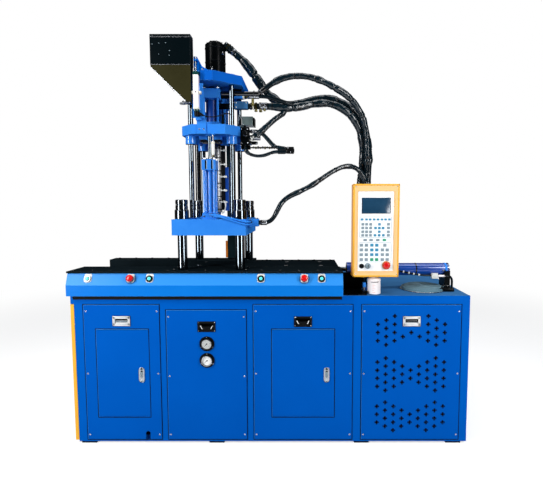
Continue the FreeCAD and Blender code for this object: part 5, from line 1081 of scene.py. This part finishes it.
# valves at the seat's right side: plate with its coil, low pipe with its row of small collars
valve = hoseEnd((-104, arcY, 1822), right, 13.5, 40) + hoseEnd((-112, arcY, 1858), right, 8.2, 26)
coil = [(15, 0), (15, 20), (12, 23), (12, 40), (14, 42), (14, 52), (0.4, 52)]
valve += [(block(-181, -129, -346, -340, 1779, 1876, 1.5, 3), blackEnamel),
          (turned(coil, (-149, -345, 1836), front, 32), blackGloss),
          (nut(13, 12, (-128, arcY, 1790), right), steel),
          (turned([(9, 0), (9, 34), (6, 37), (0.4, 37)], (-117, arcY, 1790), right, 28), steel),
          (ring(8, 12, 6, (-136, arcY, 1790), right, 0.8, 28), cream)]
valve += screwed([(x, -346, z) for x in (-174, -137) for z in (1787, 1867)], 3.6, steel, front, crossScrew)
valve += inFinish(wireWhite, turned([(4, 0), (4, 22), (5.4, 23), (5.4, 30), (0.3, 31)], (-118, -330, 1800),
                                    (0.5, -0.1, 0.86), 18),
                  turned([(4, 0), (4, 20), (0.3, 21)], (-112, -330, 1806), (-0.5, -0.1, 0.86), 18))
for k, x in enumerate(np.linspace(-112, 40, 12)):
    r = 5 + k % 3
    valve.append((turned([(r, 0), (r + 1.5, 1.5), (r + 1.5, 8), (r, 10)], (x, -300, 1766 - 2 * (k % 2)),
                         right, 20),
                  brass if k % 2 else blackGloss))
valve += [(turned([(4.5, 0), (4.5, 200)], (-130, -300, 1765), right, 20), blackGloss),
          (block(-182, -126, -312, -288, 1754, 1776, 2, 3), blackEnamel)]
make("valveDetails", "injection_seat", valve)
plug = [(slab(34, 40, 42, 8, 3, (94, -309, 1748), right), blackPlastic),
        (turned([(17, 0), (19, 2), (19, 12), (17, 14)], (122, -309, 1746), right, 36,
                lambda a: 1 + 0.03 * np.cos(14 * a)), blackPlastic),
        (turned([(12, 0), (12, 3), (4, 3.5), (0.3, 3.5)], (136, -309, 1746), right, 28), blackGloss)]
plug += screwed([(102, -329.6, 1760), (118, -329.6, 1736)], 3, steel, front, crossScrew)
make("loopPlug", "injection_seat", plug)
boot = [(8.5, 0), (12.5, 4), (12.5, 40), (10, 52), (8.4, 60)]
for name in ("boxLoop", "lowLoop"):
    end = hoseRuns[name]["line"][-1] - np.array([58, 0, 0])
    make(name + "Boot", "injection_seat", [(turned(boot, end, right, 28), rubber)])

# hopper: enamelled bin with a bright rolled rim, funnel with edge bars, outlet flange and lid grip
hopperSet = {"left": -652.0, "right": -431.0, "front": -480.0, "back": -290.0, "waist": 2193.0, "top": 2347.0,
             "low": 1995.0, "chips": 6, "seed": 7}
h0, h1, hFront, hBack, waist, hTop, low = (
    hopperSet[key] for key in ("left", "right", "front", "back", "waist", "top", "low"))
dress("hopper", hopperTwo, (binBlack, lambda x, y, z: (x > -432) & (z > 1995)),
      (blackSteel, lambda x, y, z: (z < 2055) & (y > -440)))
dress("hopper_lid", binBlack)
outline = [(h0, hFront), (h1, hFront), (h1, -425), (-548, -425), (-618, hBack), (h0, hBack)]


def edgeBar(a, b, r=1.8, mat=steel):
    # A thin round bar along an edge.
    return pipe(np.linspace(a, b, 3), r, 8), mat


rim = [edgeBar((*a, z), (*b, z), r, mat) for z, r, mat in ((hTop - 6, 2.6, steel), (waist, 2.2, blackSteel))
       for a, b in zip(outline, outline[1:] + outline[:1])]
rim += [edgeBar((*a, waist), (*a, hTop), mat=blackSteel) for a in outline[:3]]
rim += [edgeBar((h0, hFront - 0.4, waist), (h1, hFront - 0.4, waist), 2.0),
        edgeBar((h0 + 1, hFront, waist - 12), (-461, hFront, low)),
        edgeBar((h0 + 1, hBack, waist - 12), (-560, -352, 2081))]
rim += inFinish(steel, block(-486, -440, -474, -430, low - 8, low + 1, 1.5, 3),
                block(-502, -474, -470, -440, low - 12, low - 4, 1.5, 3))
rim += screwed([(-494, -455, low - 4), (-479, -468, low + 1)], 4, steel)
spots = np.random.default_rng(hopperSet["seed"])
for k in range(hopperSet["chips"]):
    x, z = spots.uniform(-640, -520), spots.uniform(waist + 27, hTop - 27)
    rim.append((turned([(2.4, 0), (2.2, 0.5), (0.3, 0.6)], (x, hFront, z), front, 12), markGrey))
make("hopperTrim", "injection_seat", rim)
handle = [(x, -400, hTop + dz)
          for x, dz in ((-570, 8), (-570, 24), (-562, 30), (-518, 30), (-510, 24), (-510, 8))]
knob = [(pipe(smooth(handle, 8), 4.5, 12), chrome)]
knob += inFinish(steel,
                 *(ring(4.6, 10, 2.5, (x, -400, hTop + 8.2), soft=0.8, sides=28) for x in (-570, -510)))
make("lidGrip", "hopper_lid", knob)

# position sensor: pale housing, dark green ends, clamps, plug, mounting plate and its thin cable
sensorSet = {"x": -405.0, "y": -468.0, "low": 1956.0, "high": 2142.0, "clampZ": 2045}
x, y, z = sensorSet["x"], sensorSet["y"], sensorSet["clampZ"]
dress("position_sensor", potWhite, (greenDark, lambda x, y, z: (z > 2141.9) & (y < -453)),
      (blackPlastic, lambda x, y, z: (z < 1956.1) & (y < -453.5) & (z > 1913)),
      (blueCast, lambda x, y, z: (y > -453.4) | (z < 1913)))
sensor = [(block(x - 27, x + 35, -453.6, -447, 1909, 2100, 1.5, 3), blueCast),
          (block(x - 16, x + 16, -484, -452, 1952, 1962, 1.5, 3), cream),
          (block(x - 14.5, x + 14.5, -482.5, -453.5, 1940, 1953, 1.5, 3), greenDark),
          (block(x - 15.5, x + 15.5, -483.5, -452.5, 2139, 2147, 1.2, 3), greenDark)]
for dx, clampX in ((-17, x - 20), (23, x + 20)):
    sensor += inFinish(cream, turned([(7, 0), (7, 7), (5.5, 8.4), (0.4, 8.4)], (x + dx, -470, z), front, 24),
                       block(clampX - 7, clampX + 7, -474, -456, z - 8, z + 8))
sensor += inFinish(blackPlastic, turned([(3.4, 0), (3.4, 0.8), (0.3, 0.9)], (x, -482, z), front, 20),
                   turned([(9, 0), (9, 12), (6, 16), (6, 24), (0.4, 24)], (-391, y, 1930), (0.9, 0, -0.42),
                          24))
sensor.append((ring(3.4, 6.4, 7, (x, y, 2156), soft=0.8, sides=24), steel))
sensor += screwed([(x - 7, -482.4, 1946), (x + 7, -482.4, 1946)], 3, steel, front, crossScrew)
sensor += screwed([(-400, -438.2, 1850), (-374, -438.2, 1850)], 4, steel, front, crossScrew)
make("sensorDetails", "injection_seat", sensor)
layHose("sensorCable", dull)


# top plate with the rods, bracket and screw motor
def fromRams(x, y):
    # Distance to the nearer injection cylinder's axis.
    return np.minimum(np.hypot(x + 350, y + 314), np.hypot(x + 350, y + 86))


topSet = {"high": 2172.0, "boss": 2186, "motorR": 61, "motorLow": 2194, "motorTop": 2412,
          "motorWay": (0.78, 0, -0.625)}
# the top plate's edge faces between z 2118 and 2172, right of x -395, take the darker copy as painted shade
dress("top_plate", blueCast, (chrome, lambda x, y, z: (z < 2118) & (fromRams(x, y) < 19)),
      (steel, lambda x, y, z: (z > 2188.5) & (fromRams(x, y) < 9)),
      (chrome, lambda x, y, z: np.hypot(x + 405, y + 468) < 4),
      (blueFrame, lambda x, y, z: (y < -438) & (z > 2172.4)),
      (castBlueWithPaintedShade, lambda x, y, z: (z > 2118.2) & (z < 2171.8) & (x > -395)))
plateTrim = []
for y in injectSet["ys"]:
    plateTrim += inFinish(steel, nut(15, 14, (axisX, y, topSet["boss"] + 2)),
                          ring(8.2, 21, 3, (axisX, y, topSet["boss"]), soft=0.8, sides=36))
plateTrim += inFinish(blueCast,
                      *(ring(15.2, 25, 5, (x, y, topSet["high"]), soft=1.2, sides=48) for x, y in rods))
x, y = sensorSet["x"], sensorSet["y"]
plateTrim += inFinish(steel, nut(6, 5, (x, y, 2232)), nut(6, 6, (x, y, 2216)),
                      turned([(4, 0), (4, 12)], (x, y, 2222), sides=16),
                      ring(3.6, 6, 12, (x, y, 2170), soft=1, sides=24))
plateTrim += screwed([(-414, -451.4, 2178), (-372, -452, 2178)], 4.2, steel, front, crossScrew)
make("topPlateTrim", "injection_ram", plateTrim)
dress("screw_motor", blackEnamel, (blackSteel, lambda x, y, z: (x > -286) & (z > 2300)))
motorWay, motorTop = topSet["motorWay"], topSet["motorTop"]
motorBands = [ring(topSet["motorR"], r, height, (axisX, axisY, z), soft=1.5, sides=80)
              for r, height, z in ((64.5, 10, 2196), (63.4, 6, 2290), (63.4, 6, 2372))]
motorCap = [(42, 0), (40, 3), (14, 4), (14, 7), (12, 8), (0.4, 8)]
motor = inFinish(blackEnamel, *motorBands, turned(motorCap, (axisX, axisY, motorTop), sides=56))
for r, ringR, z in ((6, 67.5, topSet["motorLow"]), (4, 48, motorTop - 4)):
    motor += screwed([(axisX + dx, axisY + dy, z) for dx, dy in around(8, ringR, 22.5)], r, blackGloss)
motor += hoseEnd((-248, axisY, 2368.5), motorWay, 18.5, 22)
motor += [(nut(22.5, 14, (-276, axisY, 2391), motorWay), brass),
          (ring(21, 25.5, 6, (-259, axisY, 2377), motorWay, 1.2), blackSteel)]
side, over, _ = axes(motorWay)
motor += screwed([np.array([-284, axisY, 2397]) + a * side + b * over for a, b in around(4, 26, 60)], 4,
                 steel, motorWay)
motor.append((turned([(9, 0), (9, 8), (7, 10), (0.4, 10)], (-300, -236, 2340), (0.8, -0.6, 0), 24), steel))
make("motorDetails", "injection_ram", motor)
print("tower dressed")

# sleeves: the wrinkled shiny film round the hoses, gathered by ties, as skins about each line
sleeveSet = {"names": ("motorHose", "motorRunUpper", "arcRunUpper", "platenHose", "motorRunLower",
                       "cylinderRunLower", "arcRunLower", "cylinderRunUpper", "seatRiser", "boxLoop",
                       "lowLoop"),
             "step": 5, "sides": 28, "tieGap": 128, "tie": ((0.5, 0), (2.6, 0.8), (2.6, 4.4), (0.5, 5.2)),
             "from": 0.05, "to": 0.985, "toDeck": 0.95, "platenFrom": 0.06}


def sleeve(name, start, end):
    # A loose skin: its radius swells with slow waves and folds in small pleats round and along the hose.
    run, line, (loose, pleat) = hoseRuns[name], hoseRuns[name]["line"], hoseRuns[name]["sleeve"]
    length = np.r_[0, np.cumsum(np.linalg.norm(np.diff(line, axis=0), axis=1))]
    s = np.linspace(length[-1] * start, length[-1] * end, int(length[-1] * (end - start) / sleeveSet["step"]))
    path = np.stack([np.interp(s, length, line[:, k]) for k in range(3)], -1)
    angle, gap = circle(sleeveSet["sides"]), sleeveSet["tieGap"]
    a, t, seed = angle[None], s[:, None], sum(map(ord, name)) % 17
    wave = 0.5 + 0.5 * np.sin(t / 31 + seed + 1.7 * np.sin(t / 57))
    folds = np.sin(5 * a + t / 17 + seed) * np.sin(t / 11 + 2 * a) + 0.6 * np.sin(9 * a - t / 9 + seed)
    grow = 0.7 + loose * wave + pleat * 0.42 * np.maximum(folds, -0.6)
    grow = grow * (1 - 0.85 * np.exp(-((t % gap) - gap / 2) ** 2 / 60))  # drawn in at each tie
    ends = np.clip(np.minimum(s - s[0], s[-1] - s) / 14, 0, 1)[:, None]
    parts = [(loft(tubeRings(path, run["r"] + 0.4 + grow * ends, angle)), film)]
    tie = [(run["r"] + r, z) for r, z in sleeveSet["tie"]]
    for mid in np.arange(gap / 2, length[-1], gap):
        k = int(np.argmin(abs(s - mid)))
        if 2 < k < len(s) - 3 and abs(s[k] - mid) < 6:
            parts.append((turned(tie, path[k], path[k + 1] - path[k], 28), blackPlastic))
    bodies = run["bodies"]
    skin = make(name + "Sleeve", bodies[0] if len(bodies) == 1 else None, parts, sharp=50)
    bend(skin, bodies)


for name in sleeveSet["names"]:
    platen = name == "platenHose"
    sleeve(name, sleeveSet["platenFrom" if platen else "from"],
           sleeveSet["toDeck" if platen or "Lower" in name else "to"])
print("hoses sleeved")

# floor, backdrop and light: the camera, glass and metal see a plain white surround, and soft lamps
# with a weak sky light the machine itself
studio = {"floorHalf": 30.0, "floorTone": 0.86, "floorLift": 0.42, "fadeFrom": 2.2, "fadeTo": 6.0, "sky": 0.3,
          "skyColour": (0.93, 0.96, 1.0, 1), "roomTone": 0.03, "bounceTone": 0.12}


def seenByEye(tree, kind, depth):
    # The tone that camera, glass and glossy rays see: 1 for the first two, and for glossy rays 0.6
    # behind the machine and roomTone in front; and whether a ray is any of the three.
    apart = wired(tree, "SeparateXYZ", "Y", {0: wired(tree, "TexCoord", kind)})
    side = wired(tree, "MapRange", "Result", {"Value": apart, "From Min": depth * 0.9, "From Max": depth,
                                              "To Min": studio["roomTone"], "To Max": 0.6})
    rays = wired(tree, "LightPath", "Is Glossy Ray").node.outputs
    mirror = wired(tree, "Math", "Value", {0: side, 1: rays["Is Glossy Ray"]}, operation="MULTIPLY")
    sums = []
    for total in (mirror, rays["Is Glossy Ray"]):
        for other in ("Is Camera Ray", "Is Transmission Ray"):
            total = wired(tree, "Math", "Value", {0: total, 1: rays[other]}, operation="MAXIMUM")
        sums.append(total)
    return sums


def plainShader(tree, kind, tone, output="BSDF"):
    # A shader of one even grey.
    return wired(tree, kind, output, {"Color": (tone,) * 3 + (1,)})


floorMat = bpy.data.materials.new("floorPale")
floorMat.use_nodes = True
tree = floorMat.node_tree
tree.nodes.remove(tree.nodes["Principled BSDF"])
lift = wired(tree, "Emission", "Emission", {"Strength": studio["floorLift"]})
lifted = wired(tree, "AddShader", "Shader",
               {0: plainShader(tree, "BsdfDiffuse", studio["floorTone"]), 1: lift})
away = wired(tree, "VectorMath", "Value", {0: wired(tree, "TexCoord", "Object")}, operation="LENGTH")
fade = wired(tree, "MapRange", "Result", {"Value": away, "From Min": studio["fadeFrom"],
                                          "From Max": studio["fadeTo"]}, interpolation_type="SMOOTHSTEP")
tone, asked = seenByEye(tree, "Object", studio["fadeTo"])
plain = wired(tree, "Emission", "Emission", {"Strength": tone})
both = wired(tree, "Math", "Value", {0: fade, 1: asked}, operation="MULTIPLY")
faded = wired(tree, "MixShader", "Shader", {0: both, 1: lifted, 2: plain})
bounce = plainShader(tree, "BsdfDiffuse", studio["bounceTone"])
surface = wired(tree, "MixShader", "Shader", {0: asked, 1: bounce, 2: faded})
tree.links.new(surface, tree.nodes["Material Output"].inputs["Surface"])
half = studio["floorHalf"]
floorMesh = bpy.data.meshes.new("floor")
floorMesh.from_pydata([(-half, -half, 0), (half, -half, 0), (half, half, 0), (-half, half, 0)], [],
                      [(0, 1, 2, 3)])
floorMesh.materials.append(floorMat)
floor = bpy.data.objects.new("floor", floorMesh)
bpy.context.scene.collection.objects.link(floor)

world = bpy.data.worlds.new("studio")
world.use_nodes = True
bpy.context.scene.world = world
tree = world.node_tree
sky = tree.nodes["Background"]
sky.inputs["Color"].default_value = studio["skyColour"]
sky.inputs["Strength"].default_value = studio["sky"]
tone, asked = seenByEye(tree, "Generated", 1)
seen = wired(tree, "Background", "Background", {"Color": (1, 1, 1, 1), "Strength": tone})
surface = wired(tree, "MixShader", "Shader", {0: asked, 1: sky.outputs["Background"], 2: seen})
tree.links.new(surface, tree.nodes["World Output"].inputs["Surface"])

lamps = {"key": {"place": (-2.5, -2.5, 2.1), "aim": (-0.2, -0.3, 1.4), "size": (0.55, 3.1), "power": 100},
         "fill": {"place": (2.5, -2.9, 2.1), "aim": (0.1, -0.3, 1.4), "size": (0.5, 3.1), "power": 92},
         "top": {"place": (0.2, -0.2, 4.6), "aim": (0.1, -0.2, 1.0), "size": (4.6, 1.6), "power": 80}}
for name, lamp in lamps.items():
    light = bpy.data.lights.new(name, "AREA")
    light.shape = "RECTANGLE"
    (light.size, light.size_y), light.energy = lamp["size"], lamp["power"]
    holder = bpy.data.objects.new(name, light)
    turn = Matrix(np.stack(axes(np.subtract(lamp["place"], lamp["aim"])), 1).tolist())
    holder.matrix_world = Matrix.Translation(lamp["place"]) @ turn.to_4x4()
    bpy.context.scene.collection.objects.link(holder)

bpy.context.scene.view_settings.view_transform = "Standard"
print("light and floor ready")
